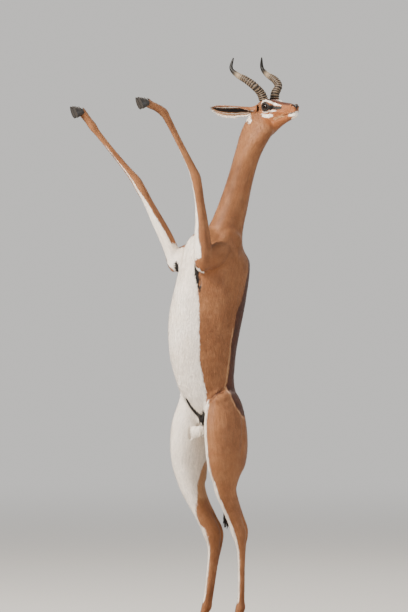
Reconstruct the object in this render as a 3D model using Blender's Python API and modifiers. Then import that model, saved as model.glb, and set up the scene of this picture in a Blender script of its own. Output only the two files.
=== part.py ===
"""Gerenuk buck, life size, reared up on its hind legs to browse, on a plain display base.

+X is the animal's left, -Y is the way its chest faces and +Z is up. Its head is turned to its left.
Lengths are metres. The flesh is lofted limb by limb, fused, smoothed and parted by thin cuts.
"""

import math

import bmesh
import bpy
import numpy as np
from mathutils import Matrix, Vector

# Driving sizes of the animal
GAP = 0.0004              # thin cut that parts two neighbouring nodes
BASE_TOP = 0.035          # upper face of the display base
BASE_SIZE = (0.70, 0.62)  # across the animal, and fore and aft
BASE_CORNER = 0.05
EYE_RADIUS = 0.0175
EYE_APART = 0.0315        # of each eye from the middle of the head
HORN_APART = 0.029
HORN_WIDE = 0.0205        # half of a horn's root, fore and aft
HORN_RINGS = 17
HORN_FLAT = 0.80          # of a horn's width across over its width fore and aft
HORN_TAPER = 0.62
HORN_TIP = 0.07           # of its root's width
HORN_RELIEF = 0.065       # of its rings, over its radius
EAR_LONG = 0.178
EAR_WIDE = 0.066
EAR_THICK = (0.0032, 0.0018)
EAR_BOW = 0.013
EAR_SAG = 0.008
HOOF_LONG = 0.052
LIDS = (0.0150, 0.0112, 0.0092, -0.1)   # half length of the opening, its reach up and down, and lean
MOUTH = (0.066, 0.130, 0.1365)          # its corner, the lip's turn and the front
MOUTH_HEIGHT = (-0.047, 0.10)           # of its corner, and its rise ahead
MOUTH_GROOVE = (0.0022, 0.0012)         # half its depth and half its height
NOSTRIL = (0.1270, 0.0115, -0.0125, (0.0075, 0.0030, 0.0036), 0.55, 0.55)

# Joints that carry the pose. L and R are the animal's left and right.
FLOOR = BASE_TOP + GAP
HEAD_AT = Vector((0.1237, 0.1615, 2.0560))   # midway between the eyes
HEAD_TURN = math.radians(8)                  # the muzzle's bearing from +X towards +Y
HEAD_PITCH = math.radians(8)
HEAD_ROLL = math.radians(1)

# Each row of a limb: x, y, z, half width, half depth to the front, half depth to the back
TRUNK = (
    (0, 0.034, 0.768, 0.030, 0.030, 0.034),
    (0, 0.028, 0.786, 0.060, 0.052, 0.056),
    (0, 0.016, 0.815, 0.080, 0.066, 0.070),
    (0, -0.008, 0.860, 0.087, 0.080, 0.084),
    (0, -0.036, 0.905, 0.087, 0.090, 0.098),
    (0, -0.060, 0.950, 0.088, 0.104, 0.114),
    (0, -0.078, 1.004, 0.094, 0.120, 0.126),
    (0, -0.087, 1.104, 0.105, 0.142, 0.140),
    (0, -0.081, 1.220, 0.111, 0.150, 0.157),
    (0, -0.061, 1.328, 0.108, 0.144, 0.163),
    (0, -0.036, 1.432, 0.098, 0.140, 0.159),
    (0, -0.026, 1.492, 0.084, 0.134, 0.147),
    (0, -0.014, 1.535, 0.064, 0.104, 0.117),
    (0, -0.002, 1.565, 0.038, 0.070, 0.080),
)
# The neck turns as it rises, so its rows end with the bearing of its front, in degrees from -Y
NECK = (
    (0.000, 0.002, 1.480, 0.066, 0.112, 0.104, 0),
    (0.002, 0.014, 1.540, 0.062, 0.086, 0.080, 4),
    (0.008, 0.031, 1.604, 0.058, 0.070, 0.064, 14),
    (0.019, 0.050, 1.680, 0.0545, 0.062, 0.059, 32),
    (0.029, 0.070, 1.764, 0.0505, 0.059, 0.053, 52),
    (0.043, 0.091, 1.856, 0.0480, 0.061, 0.052, 72),
    (0.056, 0.112, 1.936, 0.0480, 0.084, 0.053, 87),
    (0.067, 0.131, 1.990, 0.045, 0.090, 0.047, 95),
    (0.074, 0.145, 2.030, 0.038, 0.056, 0.043, 98),
)
HIND_LEG_L = (
    (0.062, -0.034, 0.945, 0.036, 0.060, 0.068),
    (0.072, -0.036, 0.895, 0.050, 0.084, 0.089),
    (0.081, -0.034, 0.810, 0.060, 0.102, 0.100),
    (0.089, -0.038, 0.724, 0.056, 0.098, 0.106),
    (0.090, -0.038, 0.656, 0.050, 0.088, 0.092),
    (0.088, -0.035, 0.608, 0.042, 0.068, 0.056),
    (0.083, -0.030, 0.566, 0.036, 0.055, 0.040),
    (0.076, -0.012, 0.516, 0.031, 0.041, 0.041),
    (0.068, 0.020, 0.446, 0.0255, 0.033, 0.045),
    (0.064, 0.043, 0.396, 0.0270, 0.034, 0.043),
    (0.064, 0.050, 0.350, 0.0195, 0.0225, 0.0260),
    (0.064, 0.052, 0.300, 0.0140, 0.0155, 0.0185),
    (0.064, 0.052, 0.180, 0.0122, 0.0140, 0.0165),
    (0.064, 0.050, 0.130, 0.0132, 0.0155, 0.0180),
    (0.064, 0.048, 0.104, 0.0175, 0.0200, 0.0230),
    (0.064, 0.038, 0.078, 0.0150, 0.0155, 0.0165),
    (0.064, 0.026, 0.054, 0.0165, 0.0165, 0.0165),
    (0.064, 0.017, 0.034, 0.0175, 0.0170, 0.0170),
)
HIND_LEG_R = (
    (-0.062, -0.040, 0.945, 0.036, 0.084, 0.086),
    (-0.073, -0.055, 0.895, 0.050, 0.092, 0.106),
    (-0.083, -0.077, 0.810, 0.060, 0.097, 0.116),
    (-0.091, -0.083, 0.724, 0.057, 0.092, 0.106),
    (-0.094, -0.085, 0.664, 0.050, 0.080, 0.092),
    (-0.088, -0.083, 0.612, 0.044, 0.067, 0.080),
    (-0.081, -0.081, 0.572, 0.037, 0.055, 0.066),
    (-0.068, -0.063, 0.512, 0.030, 0.043, 0.058),
    (-0.055, -0.030, 0.444, 0.026, 0.043, 0.054),
    (-0.047, -0.004, 0.390, 0.0270, 0.047, 0.052),
    (-0.045, 0.000, 0.342, 0.0210, 0.034, 0.040),
    (-0.045, -0.007, 0.290, 0.0160, 0.0230, 0.0310),
    (-0.046, -0.022, 0.180, 0.0148, 0.0200, 0.0250),
    (-0.047, -0.030, 0.130, 0.0150, 0.0200, 0.0240),
    (-0.048, -0.035, 0.104, 0.0175, 0.0210, 0.0245),
    (-0.051, -0.046, 0.078, 0.0150, 0.0155, 0.0165),
    (-0.055, -0.058, 0.054, 0.0165, 0.0165, 0.0165),
    (-0.058, -0.066, 0.034, 0.0175, 0.0170, 0.0170),
)
UPPER_ARM_L = (
    (0.044, 0.006, 1.490, 0.028, 0.036, 0.046),
    (0.064, -0.020, 1.496, 0.034, 0.041, 0.056),
    (0.080, -0.066, 1.486, 0.036, 0.045, 0.058),
    (0.091, -0.115, 1.470, 0.034, 0.042, 0.048),
    (0.098, -0.150, 1.456, 0.030, 0.033, 0.034),
)
FORELEG_L = (
    (0.096, -0.146, 1.420, 0.016, 0.018, 0.018),
    (0.097, -0.153, 1.440, 0.027, 0.032, 0.030),
    (0.099, -0.156, 1.490, 0.031, 0.039, 0.035),
    (0.100, -0.159, 1.550, 0.028, 0.034, 0.031),
    (0.102, -0.164, 1.620, 0.022, 0.026, 0.024),
    (0.104, -0.174, 1.690, 0.0175, 0.0205, 0.0195),
    (0.105, -0.184, 1.745, 0.0180, 0.0205, 0.0200),
    (0.105, -0.194, 1.785, 0.0180, 0.0200, 0.0205),
    (0.1035, -0.215, 1.830, 0.0142, 0.0152, 0.0170),
    (0.101, -0.269, 1.922, 0.0120, 0.0128, 0.0145),
    (0.098, -0.317, 2.004, 0.0128, 0.0140, 0.0160),
    (0.096, -0.337, 2.034, 0.0155, 0.0170, 0.0195),
    (0.0925, -0.370, 2.054, 0.0150, 0.0158, 0.0168),
    (0.089, -0.398, 2.065, 0.0165, 0.0165, 0.0165),
    (0.087, -0.414, 2.077, 0.0175, 0.0170, 0.0170),
)
UPPER_ARM_R = tuple((-row[0], *row[1:]) for row in UPPER_ARM_L)
FORELEG_R = (
    (-0.093, -0.146, 1.412, 0.016, 0.018, 0.018),
    (-0.095, -0.150, 1.436, 0.026, 0.030, 0.026),
    (-0.103, -0.164, 1.490, 0.028, 0.033, 0.024),
    (-0.113, -0.188, 1.550, 0.0275, 0.032, 0.022),
    (-0.124, -0.221, 1.617, 0.023, 0.028, 0.020),
    (-0.136, -0.250, 1.682, 0.0175, 0.0210, 0.0185),
    (-0.145, -0.278, 1.734, 0.0185, 0.0215, 0.0205),
    (-0.152, -0.298, 1.770, 0.0180, 0.0200, 0.0205),
    (-0.162, -0.327, 1.808, 0.0140, 0.0150, 0.0165),
    (-0.183, -0.388, 1.884, 0.0113, 0.0120, 0.0135),
    (-0.203, -0.442, 1.954, 0.0120, 0.0130, 0.0148),
    (-0.209, -0.459, 1.978, 0.0150, 0.0165, 0.0190),
    (-0.216, -0.478, 2.004, 0.0145, 0.0150, 0.0160),
    (-0.223, -0.494, 2.026, 0.0165, 0.0165, 0.0165),
    (-0.228, -0.506, 2.042, 0.0175, 0.0170, 0.0170),
)
TAIL = (
    (0.000, 0.062, 0.815, 0.020, 0.018, 0.018),
    (0.000, 0.092, 0.790, 0.017, 0.014, 0.014),
    (-0.002, 0.104, 0.750, 0.0125, 0.0115, 0.0115),
    (-0.014, 0.090, 0.680, 0.0095, 0.0090, 0.0090),
    (-0.030, 0.078, 0.600, 0.0080, 0.0080, 0.0080),
    (-0.047, 0.076, 0.520, 0.0070, 0.0070, 0.0070),
    (-0.058, 0.077, 0.470, 0.0055, 0.0055, 0.0055),
    (-0.064, 0.077, 0.440, 0.0030, 0.0030, 0.0030),
)
# Rows of the head, from the poll to the nose: forward of the eyes, centre height, half width, up, down
SKULL = (
    (-0.090, -0.016, 0.016, 0.020, 0.020),
    (-0.075, -0.016, 0.030, 0.040, 0.042),
    (-0.050, -0.016, 0.036, 0.050, 0.064),
    (-0.025, -0.016, 0.0375, 0.050, 0.074),
    (0.000, -0.016, 0.0365, 0.046, 0.066),
    (0.025, -0.017, 0.0320, 0.039, 0.056),
    (0.050, -0.020, 0.0260, 0.034, 0.046),
    (0.075, -0.023, 0.0215, 0.030, 0.038),
    (0.100, -0.026, 0.0190, 0.027, 0.033),
    (0.114, -0.028, 0.0182, 0.024, 0.032),
    (0.124, -0.029, 0.0168, 0.020, 0.026),
    (0.132, -0.029, 0.0110, 0.012, 0.014),
)
SKULL_NARROW = (0.22, 0.16)   # how far its section narrows to its top and to its underside
SKULL_FULL = 0.88
JAW_NARROW = 0.25
JAW = (
    (-0.062, -0.072, 0.012, 0.020),
    (-0.046, -0.084, 0.027, 0.031),
    (-0.018, -0.078, 0.030, 0.028),
    (0.015, -0.068, 0.025, 0.023),
    (0.050, -0.0605, 0.0185, 0.0165),
    (0.088, -0.055, 0.0150, 0.0120),
    (0.113, -0.053, 0.0138, 0.0105),
    (0.128, -0.051, 0.0090, 0.0065),
)
# Extra muscle and bone under the skin: centre and radii
MUSCLES = (
    ((0.052, -0.020, 1.448), (0.046, 0.100, 0.090)),
    ((-0.052, -0.020, 1.448), (0.046, 0.100, 0.090)),
    ((0.066, -0.112, 1.452), (0.036, 0.056, 0.058)),
    ((-0.066, -0.112, 1.452), (0.036, 0.056, 0.058)),
    ((0.004, -0.136, 1.452), (0.054, 0.040, 0.060)),
    ((0.058, 0.006, 1.528), (0.036, 0.052, 0.052)),
    ((-0.058, 0.006, 1.528), (0.036, 0.052, 0.052)),
    ((-0.080, -0.092, 0.925), (0.030, 0.046, 0.050)),
    ((0.018, -0.110, 0.794), (0.0185, 0.021, 0.0240)),
    ((-0.006, -0.113, 0.790), (0.0185, 0.021, 0.0245)),
    ((0.0, -0.080, 0.840), (0.021, 0.024, 0.032)),
    ((0.0, -0.178, 0.985), (0.012, 0.018, 0.040)),
)
HIND_FRONT = (0.20, -0.98, 0.0)
# The middle line of the left horn in the head's frame
HORN_PATH = (
    (-0.018, 0.029, 0.030),
    (-0.019, 0.038, 0.056),
    (-0.023, 0.063, 0.083),
    (-0.052, 0.075, 0.112),
    (-0.098, 0.080, 0.141),
    (-0.124, 0.083, 0.171),
    (-0.112, 0.076, 0.211),
)
HORN_RINGED = 0.66        # share of its length with rings
HORN_SIDES = 10
EAR_BACK = 0.682
EAR_OUT = 0.731
EAR_RISE = 0.12
EAR_DROOP = 1.3          # how far the cup's mouth turns down
EAR_ROOT = (-0.064, 0.026, 0.006)
EAR_HALF = ((0, 0.10, 0.22, 0.45, 0.68, 0.86, 1), (0.38, 0.44, 0.62, 0.95, 1.0, 0.74, 0.10))
EAR_WRAP = ((0, 0.15, 0.35, 0.6, 1), (150, 120, 74, 62, 50))
HEAD_CUT = ((0.078, 0.139, 1.998), (0.545, 0.05, 0.838))
HEAD_VOXEL = 0.0026
HEAD_TRIANGLES = 2200
BODY_VOXEL = 0.0045
BODY_TRIANGLES = 4400
HOOF_TALL = 0.034
HOOF_SIDES = 12
TOE_SHARE = 0.60          # of the sole's length that lies ahead of the coronet's middle
TOE_SLOPE = 0.50
HEEL_SLOPE = 0.08
CLAW_WIDE = (0.0096, 0.0102)            # half a claw's width at the sole and at the coronet
CLAW_APART = 0.0094                     # of a claw's middle from the hoof's
CLAW_TURN_IN = 0.0022
CLAW_POINT = (0.30, 0.10)
TAIL_LOCKS = 11
TUFT_SPAN = (0.55, 0.985)               # shares of the tail's length where the first and last locks root
LOCK_LONG = 0.085
LOCK_WIDE = 0.017
LOCK_THICK = 0.0065
LOCK_OUT = 0.16           # how far a lock leans out
LOCK_BEND = 0.006
LOCK_TURN = 2.399963      # from each lock to the next, round the tail
# Balls of bone and muscle on both sides of the head, in its frame: place, radii, pitch and yaw
HEAD_BULGES = (
    ((-0.030, 0.021, -0.050), (0.034, 0.017, 0.032), 0.5, 0.0),
    ((0.002, 0.0305, 0.001), (0.0300, 0.0205, 0.0240), 0.0, -0.20),
    ((-0.016, HORN_APART, 0.026), (0.020, 0.015, 0.016), 0.0, 0.0),
    ((0.119, 0.0105, -0.017), (0.016, 0.0085, 0.012), -0.3, 0.0),
)
CHIN = ((0.112, 0.0, -0.053), (0.018, 0.0125, 0.009), 0.1)
# Where limbs run into the trunk: centre, reach and strength of the extra smoothing
CREASES = (
    ((0.07, -0.05, 0.955), 0.15, 1.0),
    ((-0.07, -0.08, 0.955), 0.15, 1.0),
    ((0.07, 0.03, 0.86), 0.10, 0.8),
    ((-0.07, 0.00, 0.86), 0.10, 0.8),
    ((0.0, 0.02, 1.55), 0.13, 1.0),
    ((0.07, -0.02, 1.47), 0.14, 1.0),
    ((-0.07, -0.02, 1.47), 0.14, 1.0),
    ((0.04, 0.06, 1.51), 0.10, 1.0),
    ((0.085, -0.03, 1.53), 0.09, 1.0),
    ((-0.085, -0.03, 1.53), 0.09, 1.0),
    ((-0.04, 0.06, 1.51), 0.10, 1.0),
    ((0.0, -0.14, 1.47), 0.09, 0.9),
    ((0.075, -0.13, 1.44), 0.06, 0.6),
    ((-0.075, -0.13, 1.44), 0.06, 0.6),
)
# The same on the head, with its centres in the head's frame
HEAD_CREASES = (
    ((-0.020, 0.0, -0.100), 0.075, 1.0),
    ((-0.070, 0.0, -0.030), 0.070, 0.8),
    ((-0.040, 0.0, -0.118), 0.045, 1.0),
    ((-0.016, 0.030, 0.030), 0.030, 0.4),
    ((-0.016, -0.030, 0.030), 0.030, 0.4),
)
# Thin cuts that part the body: a point, the way across and how far the cut reaches
BODY_CUTS = {
    "neck": ((0.007, 0.028, 1.600), (0.05, 0.20, 1.0), 0.105),
    "hind_legs": ((0.0, -0.060, 0.750), (0.0, 0.0, 1.0), 0.260),
    "foreleg_left": ((0.090, -0.138, 1.490), (0.40, -0.79, 0.47), 0.100),
    "foreleg_right": ((-0.092, -0.138, 1.490), (-0.40, -0.79, 0.47), 0.100),
}
# A point in each node of the body, which names the pieces that the cuts leave
BODY_SEEDS = {
    "torso": (0.0, -0.07, 1.20),
    "neck": (0.03, 0.07, 1.78),
    "hind_leg_left": (0.075, -0.01, 0.45),
    "hind_leg_right": (-0.07, -0.06, 0.45),
    "foreleg_left": (0.10, -0.19, 1.72),
    "foreleg_right": (-0.14, -0.26, 1.72),
}
# Each hoof: the middle of its coronet, the way its toe points and the way its sole faces
HOOVES = {
    "hoof_hind_left": ((0.064, 0.031, FLOOR + HOOF_TALL), HIND_FRONT, (0, 0, -1)),
    "hoof_hind_right": ((-0.0525, -0.053, FLOOR + HOOF_TALL), HIND_FRONT, (0, 0, -1)),
    "hoof_fore_left": ((0.087, -0.414, 2.077), (-0.135, -0.374, 0.922), (0.055, -0.926, -0.369)),
    "hoof_fore_right": ((-0.228, -0.506, 2.042), (-0.135, -0.374, 0.922), (0.055, -0.926, -0.369)),
}
FINISHES = {
    "horn": ((0.10, 0.08, 0.06), 0.55),
    "hoof": ((0.02, 0.018, 0.016), 0.45),
    "eye": ((0.01, 0.007, 0.005), 0.08),
    "tail": ((0.06, 0.035, 0.02), 0.8),
    "stand": ((0.55, 0.52, 0.47), 0.6),
}


def catmull(rows, per_span):
    """Rows between the given ones on a Catmull-Rom curve through them."""
    rows = np.array(rows, float)
    ends = np.vstack([2 * rows[0] - rows[1], rows, 2 * rows[-1] - rows[-2]])
    made = []
    for i in range(1, len(ends) - 2):
        a, b, c, d = ends[i - 1 : i + 3]
        for t in np.arange(per_span) / per_span:
            square = (2 * a - 5 * b + 4 * c - d) * t**2
            cube = (3 * b - a - 3 * c + d) * t**3
            made.append(0.5 * (2 * b + (c - a) * t + square + cube))
    made.append(rows[-1])
    return np.array(made)


def new_object(name, mesh):
    made = bpy.data.objects.new(name, mesh)
    bpy.context.scene.collection.objects.link(made)
    return made


def loft(rings):
    """A closed mesh through rings of equal point count, with a flat cap at each end."""
    count = len(rings[0])
    points = [tuple(p) for ring in rings for p in ring]
    faces = [tuple(reversed(range(count)))]
    for k in range(len(rings) - 1):
        low, high = k * count, (k + 1) * count
        for j in range(count):
            nxt = (j + 1) % count
            faces.append((low + j, low + nxt, high + nxt, high + j))
    faces.append(tuple(range((len(rings) - 1) * count, len(rings) * count)))
    mesh = bpy.data.meshes.new("loft")
    mesh.from_pydata(points, [], faces)
    tidy(mesh)
    return mesh


def tidy(mesh):
    """Turns the faces outwards."""
    work = bmesh.new()
    work.from_mesh(mesh)
    bmesh.ops.recalc_face_normals(work, faces=work.faces)
    work.to_mesh(mesh)
    work.free()


def limb(rows, front, sides=20, per_span=4, fullness=2.2, egg=0.0):
    """Lofts a limb. front is the way its front faces, or None where each row ends with a bearing."""
    dense = catmull(rows, per_span)
    centres = dense[:, :3]
    along = np.gradient(centres, axis=0)
    rings = []
    for row, centre, step in zip(dense, centres, along):
        step = step / np.linalg.norm(step)
        if front is None:
            bearing = math.radians(row[6])
            face = np.array((math.sin(bearing), -math.cos(bearing), 0.0))
        else:
            face = np.array(front, float)
        face = face - step * (face @ step)
        face /= np.linalg.norm(face)
        side = np.cross(face, step)
        ring = []
        for k in range(sides):
            c, s = math.cos(math.tau * k / sides), math.sin(math.tau * k / sides)
            wide = math.copysign(abs(c) ** (2 / fullness), c) * row[3] * (1 - egg * max(s, 0))
            deep = math.copysign(abs(s) ** (2 / fullness), s) * (row[4] if s > 0 else row[5])
            ring.append(centre + side * wide + face * deep)
        rings.append(ring)
    return loft(rings)


def ball(centre, radii, turn=None, segments=20):
    """An ellipsoid as a mesh. turn is a rotation matrix of its axes."""
    work = bmesh.new()
    bmesh.ops.create_uvsphere(work, u_segments=segments, v_segments=segments // 2, radius=1)
    matrix = Matrix.Translation(centre)
    if turn is not None:
        matrix = matrix @ turn.to_4x4()
    work.transform(matrix @ Matrix.Diagonal((*radii, 1)))
    mesh = bpy.data.meshes.new("ball")
    work.to_mesh(mesh)
    work.free()
    return mesh


def head_frame():
    """Turns points of the head, x forwards, y left and z up from between the eyes, into the model's."""
    turn = (
        Matrix.Rotation(HEAD_TURN, 3, "Z")
        @ Matrix.Rotation(-HEAD_PITCH, 3, "Y")
        @ Matrix.Rotation(HEAD_ROLL, 3, "X")
    )
    return Matrix.Translation(HEAD_AT) @ turn.to_4x4()


HEAD = head_frame()
HEAD_AXES = HEAD.to_3x3()


def in_head(x, y, z):
    return HEAD @ Vector((x, y, z))


def fuse(name, meshes, voxel, smoothing, triangles, creases):
    """Joins closed meshes into one smooth skin of about the given number of triangles."""
    work = bmesh.new()
    for mesh in meshes:
        work.from_mesh(mesh)
        bpy.data.meshes.remove(mesh)
    joined = bpy.data.meshes.new(name)
    work.to_mesh(joined)
    work.free()
    made = new_object(name, joined)
    remesh = made.modifiers.new("remesh", "REMESH")
    remesh.mode = "VOXEL"
    remesh.voxel_size = voxel
    smooth = made.modifiers.new("smooth", "SMOOTH")
    smooth.factor = 0.5
    smooth.iterations = smoothing
    apply_modifiers(made)
    soften(made, creases)
    faces = sum(len(p.vertices) - 2 for p in made.data.polygons)
    decimate = made.modifiers.new("decimate", "DECIMATE")
    decimate.ratio = triangles / faces
    apply_modifiers(made)
    return made


def soften(thing, creases):
    """Smooths the skin strongly round each centre, fading out at its radius."""
    group = thing.vertex_groups.new(name="soft")
    for vertex in thing.data.vertices:
        weight = 0.0
        for centre, radius, most in creases:
            away = (vertex.co - Vector(centre)).length / radius
            weight = max(weight, most * min(1.0, 2 * (1 - away)))
        if weight > 0:
            group.add([vertex.index], weight, "REPLACE")
    smooth = thing.modifiers.new("soften", "SMOOTH")
    smooth.factor = 0.5
    smooth.iterations = 50
    smooth.vertex_group = "soft"
    apply_modifiers(thing)
    thing.vertex_groups.clear()


def apply_modifiers(thing):
    """Puts the evaluated mesh in place of the object's own, with no modifiers left on it."""
    depsgraph = bpy.context.evaluated_depsgraph_get()
    mesh = bpy.data.meshes.new_from_object(thing.evaluated_get(depsgraph))
    old = thing.data
    thing.modifiers.clear()
    thing.data = mesh
    bpy.data.meshes.remove(old)


def boolean(thing, others, operation, solver="EXACT"):
    """One Boolean with a collection of closed meshes, which are then removed."""
    group = bpy.data.collections.new("operands")
    bpy.context.scene.collection.children.link(group)
    for other in others:
        for owner in list(other.users_collection):
            owner.objects.unlink(other)
        group.objects.link(other)
    step = thing.modifiers.new("boolean", "BOOLEAN")
    step.operation = operation
    step.solver = solver
    step.operand_type = "COLLECTION"
    step.collection = group
    apply_modifiers(thing)
    for other in list(group.objects):
        bpy.data.objects.remove(other)
    bpy.data.collections.remove(group)


def islands(mesh):
    """The closed surfaces of a mesh, each a list of face indices, largest first."""
    owner = list(range(len(mesh.vertices)))

    def root(i):
        while owner[i] != i:
            owner[i] = owner[owner[i]]
            i = owner[i]
        return i

    for edge in mesh.edges:
        a, b = root(edge.vertices[0]), root(edge.vertices[1])
        owner[a] = b
    found = {}
    for face in mesh.polygons:
        found.setdefault(root(face.vertices[0]), []).append(face.index)
    return sorted(found.values(), key=len, reverse=True)


def island_object(name, mesh, faces):
    """A new object from some of a mesh's faces."""
    keep = set(faces)
    work = bmesh.new()
    work.from_mesh(mesh)
    work.faces.ensure_lookup_table()
    extra = [face for face in work.faces if face.index not in keep]
    bmesh.ops.delete(work, geom=extra, context="FACES")
    made = bpy.data.meshes.new(name)
    work.to_mesh(made)
    work.free()
    return new_object(name, made)


def keep_largest(thing):
    """Leaves only the largest closed surface of an object."""
    parts = islands(thing.data)
    if len(parts) == 1:
        return
    kept = island_object(thing.name + "_kept", thing.data, parts[0])
    old = thing.data
    thing.data = kept.data
    bpy.data.objects.remove(kept)
    bpy.data.meshes.remove(old)


def slab(point, normal, reach, thickness=GAP):
    """A thin square plate, used as a cutter."""
    work = bmesh.new()
    bmesh.ops.create_cube(work, size=1)
    turn = Vector(normal).normalized().to_track_quat("Z", "Y").to_matrix().to_4x4()
    work.transform(Matrix.Translation(point) @ turn @ Matrix.Diagonal((2 * reach, 2 * reach, thickness, 1)))
    mesh = bpy.data.meshes.new("slab")
    work.to_mesh(mesh)
    work.free()
    return new_object("slab", mesh)


def half_space(point, normal, reach=0.6):
    """A block whose one face passes through the point and that fills the side the normal shows."""
    normal = Vector(normal).normalized()
    return slab(Vector(point) + normal * reach, normal, reach, 2 * reach)


def skull_row(x):
    """Centre height, half width, up and down of the head at a distance ahead of the eyes."""
    rows = np.array(SKULL)
    return [float(np.interp(x, rows[:, 0], rows[:, k])) for k in range(1, 5)]


def skull_meshes():
    """Lofts of the head in its own frame, from the poll to the nose."""
    dense = catmull(SKULL, 4)
    rings = []
    sides = 24
    for x, middle, wide, up, down in dense:
        ring = []
        for k in range(sides):
            c, s = math.cos(math.tau * k / sides), math.sin(math.tau * k / sides)
            narrow = 1 - SKULL_NARROW[0] * max(s, 0) - SKULL_NARROW[1] * max(-s, 0)
            y = math.copysign(abs(c) ** SKULL_FULL, c) * wide * narrow
            z = middle + math.copysign(abs(s) ** SKULL_FULL, s) * (up if s > 0 else down)
            ring.append(in_head(x, y, z))
        rings.append(ring)
    return loft(rings)


def jaw_mesh():
    """The lower jaw, a loft from its angle under the cheek to the chin."""
    rings = []
    sides = 16
    for x, z, wide, tall in catmull(JAW, 4):
        ring = []
        for k in range(sides):
            c, s = math.cos(math.tau * k / sides), math.sin(math.tau * k / sides)
            narrow = 1 - JAW_NARROW * max(-s, 0)
            ring.append(in_head(x, wide * c * narrow, z + tall * s))
        rings.append(ring)
    return loft(rings)


def head_ball(x, y, z, radii, pitch=0.0, yaw=0.0):
    """An ellipsoid in the head's frame. pitch lifts its front end and yaw turns it to the left."""
    turn = HEAD_AXES @ Matrix.Rotation(yaw, 3, "Z") @ Matrix.Rotation(-pitch, 3, "Y")
    return ball(in_head(x, y, z), radii, turn)


def head_flesh():
    meshes = [skull_meshes(), jaw_mesh(), limb(NECK, None, sides=24)]
    for (x, y, z), radii, pitch, yaw in HEAD_BULGES:
        for side in (1, -1):
            meshes.append(head_ball(x, side * y, z, radii, pitch, side * yaw))
    centre, radii, pitch = CHIN
    meshes.append(head_ball(*centre, radii, pitch))
    return meshes


def head_creases():
    return [(in_head(*centre), radius, most) for centre, radius, most in HEAD_CREASES]


def body_flesh():
    meshes = [limb(TRUNK, (0, -1, 0), sides=28, egg=0.20)] + head_flesh()
    meshes += [limb(HIND_LEG_L, HIND_FRONT), limb(HIND_LEG_R, HIND_FRONT)]
    meshes += [limb(UPPER_ARM_L, (0.3, -1, 0.3)), limb(UPPER_ARM_R, (-0.3, -1, 0.3))]
    meshes += [limb(FORELEG_L, (0, 1, 0)), limb(FORELEG_R, (0, 1, 0))]
    meshes += [ball(centre, radii) for centre, radii in MUSCLES]
    return meshes


def eye_centre(side):
    return in_head(0, side * EYE_APART, 0)


def lids(head):
    """Hollows the orbits for the eyes and opens the lids."""
    long, up, down, lean = LIDS
    count = 16
    cutters = []
    for side in (1, -1):
        hollow = ball(eye_centre(side), (EYE_RADIUS + GAP,) * 3, HEAD_AXES, segments=16)
        cutters.append(new_object("hollow", hollow))
        slit = []
        for k in range(count):
            c, s = math.cos(math.tau * k / count), math.sin(math.tau * k / count)
            x = long * c
            z = (up if s > 0 else down) * math.copysign(abs(s) ** 1.1, s) + lean * x
            slit.append((x, z))
        rings = []
        for depth in (0.6 * EYE_RADIUS, 1.7 * EYE_RADIUS):
            rings.append([in_head(x, side * (EYE_APART + depth), z) for x, z in slit])
        cutters.append(new_object("slit", loft(rings)))
    boolean(head, cutters, "DIFFERENCE")


def skin_point(x, z):
    """Half width of the muzzle at a distance ahead of the eyes and a height."""
    middle, wide, up, down = skull_row(x)
    share = (z - middle) / (up if z > middle else down)
    share = max(-0.98, min(0.98, share))
    narrow = 1 - (SKULL_NARROW[0] if share > 0 else SKULL_NARROW[1]) * abs(share)
    return wide * narrow * (1 - abs(share) ** (2 / SKULL_FULL)) ** (SKULL_FULL / 2)


def mouth_height(x):
    """Height of the mouth's line, which rises a little to the lips."""
    start, rise = MOUTH_HEIGHT
    return start + rise * (x - MOUTH[0])


def mouth_and_nose(head):
    """Grooves the line of the mouth and hollows the nostrils."""
    cutters = []
    corner, turn, front = MOUTH
    right = []
    for x in np.linspace(corner, turn, 9):
        right.append((x, -skin_point(x, mouth_height(x)), mouth_height(x)))
    left = [(x, -y, z) for x, y, z in reversed(right)]
    around = right + [(front, 0.0, mouth_height(front))] + left
    path = catmull([(*p, 0) for p in around], 2)[:, :3]
    along = np.gradient(path, axis=0)
    upwards = np.array((0, 0, 1))
    rings = []
    for point, step in zip(path, along):
        side = np.cross(step / np.linalg.norm(step), upwards)
        ring = []
        for k in range(8):
            angle = math.tau * (k + 0.5) / 8
            offset = side * math.cos(angle) * MOUTH_GROOVE[0] + upwards * math.sin(angle) * MOUTH_GROOVE[1]
            ring.append(in_head(*(point + offset)))
        rings.append(ring)
    cutters.append(new_object("mouth", loft(rings)))
    x, y, z, radii, pitch, yaw = NOSTRIL
    for side in (1, -1):
        cutters.append(new_object("nostril", head_ball(x, side * y, z, radii, pitch, side * -yaw)))
    boolean(head, cutters, "DIFFERENCE")


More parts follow.
